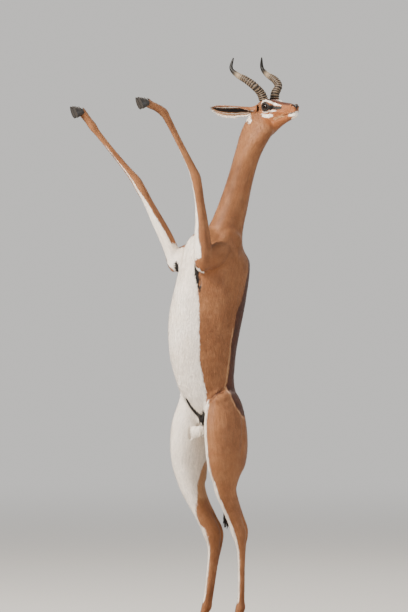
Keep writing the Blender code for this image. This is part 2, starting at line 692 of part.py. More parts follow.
def horn(side):
    """A ringed horn that rises, sweeps back and hooks up at its smooth tip."""
    rows = [(x, side * y, z, 0) for x, y, z in HORN_PATH]
    path = catmull(rows, 10)[:, :3]
    lengths = np.concatenate([[0], np.cumsum(np.linalg.norm(np.diff(path, axis=0), axis=1))])
    share = lengths / lengths[-1]
    ringed = np.linspace(0, HORN_RINGED, HORN_RINGS * 2 + 1)
    smooth = np.linspace(HORN_RINGED, 1, 8)[1:]
    steps = np.concatenate([ringed, smooth])
    spots = np.stack([np.interp(steps, share, path[:, k]) for k in range(3)], axis=1)
    along = np.gradient(spots, axis=0)
    rings = []
    for i, (t, spot, step) in enumerate(zip(steps, spots, along)):
        step = step / np.linalg.norm(step)
        out = np.array((0.0, side, 0.0))
        out = out - step * (out @ step)
        out /= np.linalg.norm(out)
        fore = np.cross(out, step) * side
        size = HORN_WIDE * ((1 - t) ** HORN_TAPER * (1 - HORN_TIP) + HORN_TIP)
        if t < HORN_RINGED:
            size *= 1 + (1.0, -0.7)[i % 2] * HORN_RELIEF * (1 - 0.5 * t / HORN_RINGED)
        ring = []
        for k in range(HORN_SIDES):
            angle = math.tau * k / HORN_SIDES
            offset = fore * (math.cos(angle) * size) + out * (math.sin(angle) * size * HORN_FLAT)
            ring.append(in_head(*(spot + offset)))
        rings.append(ring)
    return new_object(f"horn_{'left' if side > 0 else 'right'}", loft(rings))


def ear(side):
    """A long cupped ear, rolled into a tube at its root and opening to a pointed leaf."""
    along = (HEAD_AXES @ Vector((-EAR_BACK, side * EAR_OUT, EAR_RISE))).normalized()
    mouth = (HEAD_AXES @ Vector((EAR_OUT, side * EAR_BACK, -EAR_DROOP))).normalized()
    mouth = (mouth - along * mouth.dot(along)).normalized()
    across = along.cross(mouth) * side
    root = in_head(EAR_ROOT[0], side * EAR_ROOT[1], EAR_ROOT[2])
    rings = []
    for t in np.linspace(0, 1, 13):
        half = EAR_WIDE / 2 * float(np.interp(t, *EAR_HALF))
        wrap = math.radians(float(np.interp(t, *EAR_WRAP)))
        radius = half / math.sin(min(wrap, math.pi / 2))
        thick = EAR_THICK[0] + (EAR_THICK[1] - EAR_THICK[0]) * t
        swell = math.sin(math.pi * t)
        centre = root + along * (EAR_LONG * t) + mouth * (radius - EAR_SAG * swell)
        bow = across * (EAR_BOW * swell)
        ring = []
        angles = np.linspace(-wrap, wrap, 9)
        for outer, order in ((True, angles), (False, reversed(angles))):
            for a in order:
                r = radius if outer else radius - thick * (1 - 0.45 * (abs(a) / wrap) ** 2)
                ring.append(centre + bow - mouth * (r * math.cos(a)) + across * (r * math.sin(a)))
        rings.append(ring)
    return new_object(f"ear_{'left' if side > 0 else 'right'}", loft(rings))


def hoof(name, at, toe, down):
    """Two claws, joined at the heel. at is the middle of the coronet, toe and down its directions."""
    down = Vector(down).normalized()
    toe = Vector(toe)
    toe = (toe - down * toe.dot(down)).normalized()
    across = down.cross(toe)
    claws = []
    for side in (1, -1):
        rings = []
        for u in np.linspace(0, 1, 3):
            height = HOOF_TALL * u
            front = HOOF_LONG * TOE_SHARE - TOE_SLOPE * height
            back = HEEL_SLOPE * height - HOOF_LONG * (1 - TOE_SHARE)
            middle, half = (front + back) / 2, (front - back) / 2
            wide = CLAW_WIDE[0] + (CLAW_WIDE[1] - CLAW_WIDE[0]) * u
            ring = []
            for k in range(HOOF_SIDES):
                c, s = math.cos(math.tau * k / HOOF_SIDES), math.sin(math.tau * k / HOOF_SIDES)
                x = middle + half * c
                y = wide * s * (1 - CLAW_POINT[0] * c - CLAW_POINT[1] * c * c)
                y += side * (CLAW_APART - CLAW_TURN_IN * max(c, 0))
                ring.append(Vector(at) + toe * x + across * y + down * (HOOF_TALL - height))
            rings.append(ring)
        claws.append(new_object("claw", loft(rings)))
    made = claws[0]
    made.name = name
    boolean(made, claws[1:], "UNION")
    keep_largest(made)
    return made


def lock(root, along, out, long, bend):
    """A flat tapered lock of hair that leaves its root along one way and bends another."""
    along, out = Vector(along).normalized(), Vector(out).normalized()
    side = along.cross(out).normalized()
    rings = []
    for t in (0.0, 0.3, 0.65, 1.0):
        centre = Vector(root) + along * (long * t) + out * (bend * t * t)
        w = LOCK_WIDE * (1 - 0.88 * t**1.6) / 2
        d = LOCK_THICK * (1 - 0.80 * t) / 2
        rings.append([centre + side * w, centre + out * d, centre - side * w, centre - out * d])
    return new_object("lock", loft(rings))


def tail():
    """The dock with its tuft of locks that overlap down to the tip."""
    made = new_object("tail", limb(TAIL, (0, -1, 0), sides=12, per_span=3))
    path = catmull(TAIL, 8)[:, :3]
    lengths = np.concatenate([[0], np.cumsum(np.linalg.norm(np.diff(path, axis=0), axis=1))])
    share = lengths / lengths[-1]
    locks = []
    for i in range(TAIL_LOCKS):
        t = TUFT_SPAN[0] + (TUFT_SPAN[1] - TUFT_SPAN[0]) * i / (TAIL_LOCKS - 1)
        spots = []
        for step in (0, 0.03, -0.03):
            spots.append(np.array([np.interp(min(t + step, 1), share, path[:, k]) for k in range(3)]))
        point, ahead, behind = spots
        along = (ahead - behind) / np.linalg.norm(ahead - behind)
        out = np.array((math.cos(LOCK_TURN * i), math.sin(LOCK_TURN * i), 0.0))
        out = out - along * (out @ along)
        long = LOCK_LONG * (0.72 + 0.28 * math.sin(math.pi * (i + 2) / (TAIL_LOCKS + 3)))
        locks.append(lock(point, along + out * LOCK_OUT, out, long, LOCK_BEND * math.sin(3.1 * i)))
    boolean(made, locks, "UNION")
    keep_largest(made)
    return made


def base():
    """A plain plate with rounded corners."""
    work = bmesh.new()
    bmesh.ops.create_cube(work, size=1)
    work.transform(
        Matrix.Translation((0, 0, BASE_TOP / 2)) @ Matrix.Diagonal((*BASE_SIZE, BASE_TOP, 1))
    )
    upright = [e for e in work.edges if abs(e.verts[0].co.z - e.verts[1].co.z) > BASE_TOP / 2]
    bmesh.ops.bevel(work, geom=upright, offset=BASE_CORNER, segments=8, affect="EDGES")
    top = [e for e in work.edges if all(v.co.z > BASE_TOP - 0.001 for v in e.verts)]
    bmesh.ops.bevel(work, geom=top, offset=0.004, segments=2, affect="EDGES")
    mesh = bpy.data.meshes.new("stand_base")
    work.to_mesh(mesh)
    work.free()
    return new_object("stand_base", mesh)


def material(name, colour, roughness):
    made = bpy.data.materials.new(name)
    made.use_nodes = True
    shader = made.node_tree.nodes["Principled BSDF"]
    shader.inputs["Base Color"].default_value = (*colour, 1)
    shader.inputs["Roughness"].default_value = roughness
    shader.inputs["Metallic"].default_value = 0.0
    return made


def grown(thing, amount):
    """A copy of an object, swollen along its normals, to cut clearance from a neighbour."""
    made = new_object("grown", thing.data.copy())
    push = made.modifiers.new("push", "DISPLACE")
    push.mid_level = 0
    push.strength = amount
    apply_modifiers(made)
    return made


def main():
    for old in list(bpy.data.objects):
        bpy.data.objects.remove(old)
    nodes = {}

    head = fuse("head", head_flesh(), HEAD_VOXEL, 6, HEAD_TRIANGLES, head_creases())
    lids(head)
    mouth_and_nose(head)
    boolean(head, [half_space(*HEAD_CUT, reach=0.5)], "INTERSECT")
    keep_largest(head)
    nodes["head"] = head

    creases = list(CREASES) + head_creases()
    flesh = fuse("flesh", body_flesh(), BODY_VOXEL, 8, BODY_TRIANGLES + HEAD_TRIANGLES, creases)
    point, normal = Vector(HEAD_CUT[0]), Vector(HEAD_CUT[1]).normalized()
    away = half_space(point - normal * GAP, normal, reach=0.22)
    boolean(flesh, [away], "DIFFERENCE")
    cutters = [slab(*cut) for cut in BODY_CUTS.values()]
    for at, toe, down in HOOVES.values():
        cutters.append(hoof_block(at, toe, down))
    boolean(flesh, cutters, "DIFFERENCE")
    parts = islands(flesh.data)
    for faces in parts[: len(BODY_SEEDS)]:
        piece = island_object("piece", flesh.data, faces)
        middle = sum((v.co for v in piece.data.vertices), Vector()) / len(piece.data.vertices)
        name = min(BODY_SEEDS, key=lambda n: (Vector(BODY_SEEDS[n]) - middle).length)
        piece.name = name
        nodes[name] = piece
    bpy.data.objects.remove(flesh)

    for side, word in ((1, "left"), (-1, "right")):
        horn_object = horn(side)
        boolean(horn_object, [grown(head, GAP)], "DIFFERENCE")
        keep_largest(horn_object)
        nodes["horn_" + word] = horn_object
        ear_object = ear(side)
        boolean(ear_object, [grown(head, GAP)], "DIFFERENCE")
        keep_largest(ear_object)
        nodes["ear_" + word] = ear_object
        eye = new_object("eye_" + word, ball(eye_centre(side), (EYE_RADIUS,) * 3, HEAD_AXES, segments=16))
        nodes["eye_" + word] = eye
    for name, (at, toe, down) in HOOVES.items():
        nodes[name] = hoof(name, at, toe, down)
    tail_object = tail()
    boolean(tail_object, [grown(nodes["torso"], GAP)], "DIFFERENCE")
    keep_largest(tail_object)
    nodes["tail"] = tail_object
    nodes["stand_base"] = base()

    group = bpy.data.collections.new("gerenuk")
    bpy.context.scene.collection.children.link(group)
    for name, thing in nodes.items():
        thing.name = name
        thing.data.name = name
        for owner in list(thing.users_collection):
            owner.objects.unlink(thing)
        group.objects.link(thing)
        colour, roughness = finish_of(name)
        thing.data.materials.clear()
        thing.data.materials.append(material(name, colour, roughness))
        thing.data.shade_smooth()
        thing.data.set_sharp_from_angle(angle=math.radians(40))


def finish_of(name):
    """Colour and roughness of a node's material."""
    for word, finish in FINISHES.items():
        if name.startswith(word):
            return finish
    return (0.42, 0.22, 0.10), 0.8


def hoof_block(at, toe, down):
    """A block that takes away all of a leg beyond its hoof's coronet."""
    down = Vector(down).normalized()
    start = Vector(at) - down * GAP
    return half_space(start, down, reach=0.075)


main()
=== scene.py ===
"""Looks of the gerenuk buck: one skin with its markings, the short coat, eyes, horns, hooves and tail.

+X is the animal's left, -Y is the way its chest faces and +Z is up. Lengths are metres.
"""

import math

import bmesh
import bpy
import numpy as np
from mathutils import Matrix, Vector


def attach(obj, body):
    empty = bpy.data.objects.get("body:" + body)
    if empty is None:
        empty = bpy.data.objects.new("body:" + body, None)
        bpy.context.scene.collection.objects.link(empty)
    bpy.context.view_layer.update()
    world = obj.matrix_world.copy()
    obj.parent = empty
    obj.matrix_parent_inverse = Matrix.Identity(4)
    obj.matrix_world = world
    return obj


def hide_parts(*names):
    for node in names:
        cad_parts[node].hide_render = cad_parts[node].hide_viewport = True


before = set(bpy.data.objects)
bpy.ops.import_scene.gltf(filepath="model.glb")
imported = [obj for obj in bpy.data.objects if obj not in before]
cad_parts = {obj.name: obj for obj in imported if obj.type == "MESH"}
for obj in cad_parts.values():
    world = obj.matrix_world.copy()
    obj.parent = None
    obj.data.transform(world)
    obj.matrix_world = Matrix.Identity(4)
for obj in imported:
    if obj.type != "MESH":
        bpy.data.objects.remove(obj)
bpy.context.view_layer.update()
SEED = 11
RANDOM = np.random.default_rng(SEED)

# The part's own sizes
GAP = 0.0004
BASE_TOP = 0.035
EYE_RADIUS = 0.0175
EYE_APART = 0.0315
HORN_APART = 0.029
HORN_WIDE = 0.0205
EAR_LONG = 0.178
EAR_WIDE = 0.066
HOOF_LONG = 0.052
HOOF_TALL = 0.034
FLOOR = BASE_TOP + GAP
HEAD_AT = Vector((0.1237, 0.1615, 2.0560))
HEAD_TURN = math.radians(8)
HEAD_PITCH = math.radians(8)
HEAD_ROLL = math.radians(1)

# The skin and its coat
COAT_DEPTH = 0.0012       # the skin lies this far inside the solids
STREAK_STRETCH = 0.13     # the coat's noise is drawn out along the hair to this share of its length
BODY_VOXEL = 0.0028
HEAD_VOXEL = 0.0013
BODY_SMOOTHING = (20, 130)    # rounds over all of it, and more round its creases
HEAD_SMOOTHING = (24, 200)
BODY_TRIANGLES = 96000
HEAD_TRIANGLES = 84000
JOIN_BEHIND = -0.10        # the raised forelegs lie before this, and aren't cut there
JOIN_AT = ((0.0475, 0.100, 1.900), (0.155, 0.26, 1.0))   # where the head's fine skin meets the body's
JOIN_GAP = 0.003          # each skin stops this far from the join, and a bridge closes it
JOIN_BAND = 0.012         # smoothed to each side of the join
JOIN_REACH = 0.12
JOIN_ROUNDS = 8
HORN_RINGS = 16
HORN_STEPS = 330
HORN_SIDES = 40
HOOF_SIDES = 40
EAR_ROWS = 46
EAR_COLUMNS = 27
EAR_BOW = 0.013
EAR_THICK = (0.0030, 0.0014)   # at the root and at the tip
ORBIT_REACH = 0.032
LID_LIFT = 0.0016         # the lids' skin lies this far over the eyeball
ORBIT_SINK = 0.0030       # inside the lids' opening the skin lies this far under the eyeball's surface
LID_STEPS = 96
TAIL_LOCKS = 230
TAIL_LOCKS_FROM = 0.53    # share of the tail where the locks start
TAIL_LOCKS_OVER = 0.46
TAIL_LOCK_LONG = 0.058
TAIL_LOCK_ROWS = 7
TAIL_LOCK_SPREAD = 0.0185
GOLDEN_TURN = 2.399963     # between neighbouring locks round the tail
LASHES = 46
LASH_LONG = 0.0095
TUFTS = 150000            # short flat tufts on body and head
TUFT_PIECES = 3
EAR_TUFTS = 5200
LIMB_FULLNESS = 2.2
NOT_HERE = -0.05          # a marking's value where it can't be, in metres

# Colours, linear
TAN = (0.290, 0.117, 0.044, 1)
TAN_DEEP = (0.228, 0.087, 0.032, 1)
TAN_LIGHT = (0.365, 0.165, 0.070, 1)
ORANGE = (0.290, 0.092, 0.025, 1)
PALE_TAN = (0.43, 0.225, 0.105, 1)
CHESTNUT = (0.082, 0.022, 0.0085, 1)
CHESTNUT_DARK = (0.054, 0.0145, 0.006, 1)
WHITE = (0.92, 0.845, 0.760, 1)
CREAM = (0.88, 0.785, 0.685, 1)
BLACK = (0.010, 0.007, 0.006, 1)
HORN_GROOVE = (0.016, 0.011, 0.008, 1)
HORN_CREST = (0.135, 0.095, 0.062, 1)
HORN_PALE = (0.300, 0.230, 0.155, 1)
HORN_TIP = (0.007, 0.006, 0.005, 1)
HOOF_DARK = (0.010, 0.0085, 0.0075, 1)
HOOF_PALE = (0.026, 0.021, 0.017, 1)
HOOF_DUST = (0.075, 0.055, 0.038, 1)
TAIL_BLACK = (0.006, 0.005, 0.004, 1)
TAIL_BROWN = (0.022, 0.012, 0.008, 1)
EYE_BROWN = (0.020, 0.008, 0.0035, 1)
EYE_DEEP = (0.009, 0.004, 0.002, 1)
EYE_PUPIL = (0.001, 0.001, 0.001, 1)
EYE_RIM = (0.003, 0.002, 0.002, 1)
WOOD_DARK = (0.16, 0.085, 0.042, 1)
WOOD_PALE = (0.30, 0.175, 0.095, 1)
FLOOR_TONE = (0.50, 0.485, 0.465)
BACKDROP = (1.0, 0.98, 0.95)
WORLD_LIGHT = 0.72
FLOOR_REACH = 3000.0
CAMERA_BEARING = 55
CAMERA_HEIGHT = 1.5
CAMERA_DISTANCE = 28.0
CAMERA_LENS = 422.3
LIGHT_AIM = (0, -0.1, 1.2)
# Lights: name, bearing, height in degrees, distance, size, power and colour
LIGHTS = (
    ("key", 4, 36, 6.0, 1.9, 980, (1.0, 0.94, 0.85)),
    ("fill", 100, 16, 6.0, 3.2, 120, (0.95, 0.96, 1.0)),
    ("rim", 205, 45, 6.0, 2.0, 200, (1.0, 0.94, 0.86)),
)
CAMERA_AIM = (-0.0376, -0.0537, 1.2791)

# Each row of a limb: x, y, z, half width, half depth to the front, half depth to the back
TRUNK = (
    (0, 0.034, 0.768, 0.030, 0.030, 0.034),
    (0, 0.028, 0.786, 0.060, 0.052, 0.056),
    (0, 0.016, 0.815, 0.080, 0.066, 0.070),
    (0, -0.008, 0.860, 0.087, 0.080, 0.084),
    (0, -0.036, 0.905, 0.087, 0.090, 0.098),
    (0, -0.060, 0.950, 0.088, 0.104, 0.114),
    (0, -0.078, 1.004, 0.094, 0.120, 0.126),
    (0, -0.087, 1.104, 0.105, 0.142, 0.140),
    (0, -0.081, 1.220, 0.111, 0.150, 0.157),
    (0, -0.061, 1.328, 0.108, 0.144, 0.163),
    (0, -0.036, 1.432, 0.098, 0.140, 0.159),
    (0, -0.026, 1.492, 0.084, 0.134, 0.147),
    (0, -0.014, 1.535, 0.064, 0.104, 0.117),
    (0, -0.002, 1.565, 0.038, 0.070, 0.080),
)
# The neck turns as it rises, so its rows end with the bearing of its front, in degrees from -Y
NECK = (
    (0.000, 0.002, 1.480, 0.066, 0.112, 0.104, 0),
    (0.002, 0.014, 1.540, 0.062, 0.086, 0.080, 4),
    (0.008, 0.031, 1.604, 0.058, 0.070, 0.064, 14),
    (0.019, 0.050, 1.680, 0.0545, 0.062, 0.059, 32),
    (0.029, 0.070, 1.764, 0.0505, 0.059, 0.053, 52),
    (0.043, 0.091, 1.856, 0.0480, 0.061, 0.052, 72),
    (0.056, 0.112, 1.936, 0.0480, 0.084, 0.053, 87),
    (0.067, 0.131, 1.990, 0.045, 0.090, 0.047, 95),
    (0.074, 0.145, 2.030, 0.038, 0.056, 0.043, 98),
)
HIND_LEG_L = (
    (0.062, -0.034, 0.945, 0.036, 0.060, 0.068),
    (0.072, -0.036, 0.895, 0.050, 0.084, 0.089),
    (0.081, -0.034, 0.810, 0.060, 0.102, 0.100),
    (0.089, -0.038, 0.724, 0.056, 0.098, 0.106),
    (0.090, -0.038, 0.656, 0.050, 0.088, 0.092),
    (0.088, -0.035, 0.608, 0.042, 0.068, 0.056),
    (0.083, -0.030, 0.566, 0.036, 0.055, 0.040),
    (0.076, -0.012, 0.516, 0.031, 0.041, 0.041),
    (0.068, 0.020, 0.446, 0.0255, 0.033, 0.045),
    (0.064, 0.043, 0.396, 0.0270, 0.034, 0.043),
    (0.064, 0.050, 0.350, 0.0195, 0.0225, 0.0260),
    (0.064, 0.052, 0.300, 0.0140, 0.0155, 0.0185),
    (0.064, 0.052, 0.180, 0.0122, 0.0140, 0.0165),
    (0.064, 0.050, 0.130, 0.0132, 0.0155, 0.0180),
    (0.064, 0.048, 0.104, 0.0175, 0.0200, 0.0230),
    (0.064, 0.038, 0.078, 0.0150, 0.0155, 0.0165),
    (0.064, 0.026, 0.054, 0.0165, 0.0165, 0.0165),
    (0.064, 0.017, 0.034, 0.0175, 0.0170, 0.0170),
)
HIND_LEG_R = (
    (-0.062, -0.040, 0.945, 0.036, 0.084, 0.086),
    (-0.073, -0.055, 0.895, 0.050, 0.092, 0.106),
    (-0.083, -0.077, 0.810, 0.060, 0.097, 0.116),
    (-0.091, -0.083, 0.724, 0.057, 0.092, 0.106),
    (-0.094, -0.085, 0.664, 0.050, 0.080, 0.092),
    (-0.088, -0.083, 0.612, 0.044, 0.067, 0.080),
    (-0.081, -0.081, 0.572, 0.037, 0.055, 0.066),
    (-0.068, -0.063, 0.512, 0.030, 0.043, 0.058),
    (-0.055, -0.030, 0.444, 0.026, 0.043, 0.054),
    (-0.047, -0.004, 0.390, 0.0270, 0.047, 0.052),
    (-0.045, 0.000, 0.342, 0.0210, 0.034, 0.040),
    (-0.045, -0.007, 0.290, 0.0160, 0.0230, 0.0310),
    (-0.046, -0.022, 0.180, 0.0148, 0.0200, 0.0250),
    (-0.047, -0.030, 0.130, 0.0150, 0.0200, 0.0240),
    (-0.048, -0.035, 0.104, 0.0175, 0.0210, 0.0245),
    (-0.051, -0.046, 0.078, 0.0150, 0.0155, 0.0165),
    (-0.055, -0.058, 0.054, 0.0165, 0.0165, 0.0165),
    (-0.058, -0.066, 0.034, 0.0175, 0.0170, 0.0170),
)
UPPER_ARM_L = (
    (0.044, 0.006, 1.490, 0.028, 0.036, 0.046),
    (0.064, -0.020, 1.496, 0.034, 0.041, 0.056),
    (0.080, -0.066, 1.486, 0.036, 0.045, 0.058),
    (0.091, -0.115, 1.470, 0.034, 0.042, 0.048),
    (0.098, -0.150, 1.456, 0.030, 0.033, 0.034),
)
FORELEG_L = (
    (0.096, -0.146, 1.420, 0.016, 0.018, 0.018),
    (0.097, -0.153, 1.440, 0.027, 0.032, 0.030),
    (0.099, -0.156, 1.490, 0.031, 0.039, 0.035),
    (0.100, -0.159, 1.550, 0.028, 0.034, 0.031),
    (0.102, -0.164, 1.620, 0.022, 0.026, 0.024),
    (0.104, -0.174, 1.690, 0.0175, 0.0205, 0.0195),
    (0.105, -0.184, 1.745, 0.0180, 0.0205, 0.0200),
    (0.105, -0.194, 1.785, 0.0180, 0.0200, 0.0205),
    (0.1035, -0.215, 1.830, 0.0142, 0.0152, 0.0170),
    (0.101, -0.269, 1.922, 0.0120, 0.0128, 0.0145),
    (0.098, -0.317, 2.004, 0.0128, 0.0140, 0.0160),
    (0.096, -0.337, 2.034, 0.0155, 0.0170, 0.0195),
    (0.0925, -0.370, 2.054, 0.0150, 0.0158, 0.0168),
    (0.089, -0.398, 2.065, 0.0165, 0.0165, 0.0165),
    (0.087, -0.414, 2.077, 0.0175, 0.0170, 0.0170),
)
UPPER_ARM_R = tuple((-row[0], *row[1:]) for row in UPPER_ARM_L)
FORELEG_R = (
    (-0.093, -0.146, 1.412, 0.016, 0.018, 0.018),
    (-0.095, -0.150, 1.436, 0.026, 0.030, 0.026),
    (-0.103, -0.164, 1.490, 0.028, 0.033, 0.024),
    (-0.113, -0.188, 1.550, 0.0275, 0.032, 0.022),
    (-0.124, -0.221, 1.617, 0.023, 0.028, 0.020),
    (-0.136, -0.250, 1.682, 0.0175, 0.0210, 0.0185),
    (-0.145, -0.278, 1.734, 0.0185, 0.0215, 0.0205),
    (-0.152, -0.298, 1.770, 0.0180, 0.0200, 0.0205),
    (-0.162, -0.327, 1.808, 0.0140, 0.0150, 0.0165),
    (-0.183, -0.388, 1.884, 0.0113, 0.0120, 0.0135),
    (-0.203, -0.442, 1.954, 0.0120, 0.0130, 0.0148),
    (-0.209, -0.459, 1.978, 0.0150, 0.0165, 0.0190),
    (-0.216, -0.478, 2.004, 0.0145, 0.0150, 0.0160),
    (-0.223, -0.494, 2.026, 0.0165, 0.0165, 0.0165),
    (-0.228, -0.506, 2.042, 0.0175, 0.0170, 0.0170),
)
TAIL = (
    (0.000, 0.062, 0.815, 0.020, 0.018, 0.018),
    (0.000, 0.092, 0.790, 0.017, 0.014, 0.014),
    (-0.002, 0.104, 0.750, 0.0125, 0.0115, 0.0115),
    (-0.014, 0.090, 0.680, 0.0095, 0.0090, 0.0090),
    (-0.030, 0.078, 0.600, 0.0080, 0.0080, 0.0080),
    (-0.047, 0.076, 0.520, 0.0070, 0.0070, 0.0070),
    (-0.058, 0.077, 0.470, 0.0055, 0.0055, 0.0055),
    (-0.064, 0.077, 0.440, 0.0030, 0.0030, 0.0030),
)
# Rows of the head, from the poll to the nose: forward of the eyes, centre height, half width, up, down
SKULL = (
    (-0.090, -0.016, 0.016, 0.020, 0.020),
    (-0.075, -0.016, 0.030, 0.040, 0.042),
    (-0.050, -0.016, 0.036, 0.050, 0.064),
    (-0.025, -0.016, 0.0375, 0.050, 0.074),
    (0.000, -0.016, 0.0365, 0.046, 0.066),
    (0.025, -0.017, 0.0320, 0.039, 0.056),
    (0.050, -0.020, 0.0260, 0.034, 0.046),
    (0.075, -0.023, 0.0215, 0.030, 0.038),
    (0.100, -0.026, 0.0190, 0.027, 0.033),
    (0.114, -0.028, 0.0182, 0.024, 0.032),
    (0.124, -0.029, 0.0168, 0.020, 0.026),
    (0.132, -0.029, 0.0110, 0.012, 0.014),
)
JAW = (
    (-0.062, -0.072, 0.012, 0.020),
    (-0.046, -0.084, 0.027, 0.031),
    (-0.018, -0.078, 0.030, 0.028),
    (0.015, -0.068, 0.025, 0.023),
    (0.050, -0.0605, 0.0185, 0.0165),
    (0.088, -0.055, 0.0150, 0.0120),
    (0.113, -0.053, 0.0138, 0.0105),
    (0.128, -0.051, 0.0090, 0.0065),
)
# Cheek, orbit, horn's root and nostril on the head's left: centre in its frame, radii, pitch and yaw
HEAD_BALLS = (
    (-0.030, 0.021, -0.050, (0.034, 0.017, 0.032), 0.5, 0.0),
    (0.002, 0.0305, 0.001, (0.0300, 0.0205, 0.0240), 0.0, -0.20),
    (-0.016, HORN_APART, 0.026, (0.020, 0.015, 0.016), 0.0, 0.0),
    (0.119, 0.0105, -0.017, (0.016, 0.0085, 0.012), -0.3, 0.0),
)
# Extra muscle and bone under the skin: centre and radii
MUSCLES = (
    ((0.052, -0.020, 1.448), (0.046, 0.100, 0.090)),
    ((-0.052, -0.020, 1.448), (0.046, 0.100, 0.090)),
    ((0.066, -0.112, 1.452), (0.036, 0.056, 0.058)),
    ((-0.066, -0.112, 1.452), (0.036, 0.056, 0.058)),
    ((0.004, -0.136, 1.452), (0.054, 0.040, 0.060)),
    ((0.058, 0.006, 1.528), (0.036, 0.052, 0.052)),
    ((-0.058, 0.006, 1.528), (0.036, 0.052, 0.052)),
    ((-0.080, -0.092, 0.925), (0.030, 0.046, 0.050)),
    ((0.018, -0.110, 0.794), (0.0185, 0.021, 0.0240)),
    ((-0.006, -0.113, 0.790), (0.0185, 0.021, 0.0245)),
    ((0.0, -0.080, 0.840), (0.021, 0.024, 0.032)),
    ((0.0, -0.178, 0.985), (0.012, 0.018, 0.040)),
)
HIND_FRONT = (0.20, -0.98, 0.0)
ARM_FRONT = {1: (0.3, -1, 0.3), -1: (-0.3, -1, 0.3)}
# The middle line of the left horn in the head's frame
HORN_PATH = (
    (-0.018, 0.029, 0.030),
    (-0.019, 0.038, 0.056),
    (-0.023, 0.063, 0.083),
    (-0.052, 0.075, 0.112),
    (-0.098, 0.080, 0.141),
    (-0.124, 0.083, 0.171),
    (-0.112, 0.076, 0.211),
)
HORN_RINGED = 0.66

# The ear's way back, out and up from its root, how far its mouth droops, and where its root is
EAR_BACK = 0.682
EAR_OUT = 0.731
EAR_RISE = 0.12
EAR_DROOP = 1.3
EAR_ROOT = (-0.064, 0.026, 0.006)
# Shares of the ear's length, then its half width there as a share of the widest, or the degrees that it wraps
EAR_HALF = ((0, 0.10, 0.22, 0.45, 0.68, 0.86, 1), (0.38, 0.44, 0.62, 0.95, 1.0, 0.74, 0.10))
EAR_WRAP = ((0, 0.15, 0.35, 0.6, 1), (150, 120, 74, 62, 50))
# Extra smoothing where the head's parts meet: centre in its frame, reach and strength
HEAD_CREASES = (
    ((-0.020, 0.0, -0.100), 0.075, 1.0),
    ((-0.070, 0.0, -0.030), 0.070, 0.8),
    ((-0.040, 0.0, -0.118), 0.045, 1.0),
    ((-0.016, 0.030, 0.030), 0.030, 0.4),
    ((-0.016, -0.030, 0.030), 0.030, 0.4),
)
# Where limbs run into the trunk: centre, reach and strength of the extra smoothing
CREASES = (
    ((0.07, -0.05, 0.955), 0.15, 1.0),
    ((-0.07, -0.08, 0.955), 0.15, 1.0),
    ((0.07, 0.03, 0.86), 0.10, 0.8),
    ((-0.07, 0.00, 0.86), 0.10, 0.8),
    ((0.0, 0.02, 1.55), 0.13, 1.0),
    ((0.07, -0.02, 1.47), 0.14, 1.0),
    ((-0.07, -0.02, 1.47), 0.14, 1.0),
    ((0.04, 0.06, 1.51), 0.10, 1.0),
    ((0.085, -0.03, 1.53), 0.09, 1.0),
    ((-0.085, -0.03, 1.53), 0.09, 1.0),
    ((-0.04, 0.06, 1.51), 0.10, 1.0),
    ((0.0, -0.14, 1.47), 0.09, 0.9),
    ((0.075, -0.13, 1.44), 0.06, 0.6),
    ((-0.075, -0.13, 1.44), 0.06, 0.6),
)
HOOF_HEIGHTS = (0.0, 0.015, 0.05, 0.12, 0.22, 0.34, 0.46, 0.58, 0.70, 0.82, 0.92, 0.975, 1.0)
# Each hoof: the middle of its coronet, the way its toe points and the way its sole faces
HOOVES = {
    "hoof_hind_left": ((0.064, 0.031, FLOOR + HOOF_TALL), HIND_FRONT, (0, 0, -1)),
    "hoof_hind_right": ((-0.0525, -0.053, FLOOR + HOOF_TALL), HIND_FRONT, (0, 0, -1)),
    "hoof_fore_left": ((0.087, -0.414, 2.077), (-0.135, -0.374, 0.922), (0.055, -0.926, -0.369)),
    "hoof_fore_right": ((-0.228, -0.506, 2.042), (-0.135, -0.374, 0.922), (0.055, -0.926, -0.369)),
}


def catmull(rows, per_span):
    """Rows between the given ones on a Catmull-Rom curve through them."""
    rows = np.array(rows, float)
    ends = np.vstack([2 * rows[0] - rows[1], rows, 2 * rows[-1] - rows[-2]])
    made = []
    for i in range(1, len(ends) - 2):
        a, b, c, d = ends[i - 1 : i + 3]
        bend, twist = 2 * a - 5 * b + 4 * c - d, 3 * b - a - 3 * c + d
        for t in np.arange(per_span) / per_span:
            made.append(0.5 * (2 * b + (c - a) * t + bend * t**2 + twist * t**3))
    made.append(rows[-1])
    return np.array(made)


def unit(v):
    """Vectors along the last axis, made one long."""
    return v / np.maximum(np.linalg.norm(v, axis=-1, keepdims=True), 1e-12)


def square_to(along, v):
    """Vectors without their part along other ones, made one long."""
    return unit(v - along * np.sum(v * along, axis=-1, keepdims=True))


def power(v, exponent):
    """Values with their size raised to a power and their sign kept."""
    return np.sign(v) * np.abs(v) ** exponent


def circle(count):
    """Cosine and sine of even steps round a circle."""
    angle = math.tau * np.arange(count) / count
    return np.cos(angle), np.sin(angle)


def arc_of(path):
    """How far along a path each of its spots lies."""
    return np.concatenate([[0], np.cumsum(np.linalg.norm(np.diff(path, axis=0), axis=1))])


def side_word(side):
    return "left" if side > 0 else "right"


def new_object(name, data):
    made = bpy.data.objects.new(name, data)
    bpy.context.scene.collection.objects.link(made)
    return made


def mesh_of(work, name):
    """A new mesh from an edited one, which is freed."""
    mesh = bpy.data.meshes.new(name)
    work.to_mesh(mesh)
    work.free()
    return mesh


def outward(mesh):
    """The mesh with its faces turned outwards."""
    work = bmesh.new()
    work.from_mesh(mesh)
    bmesh.ops.recalc_face_normals(work, faces=work.faces)
    work.to_mesh(mesh)
    work.free()
    return mesh


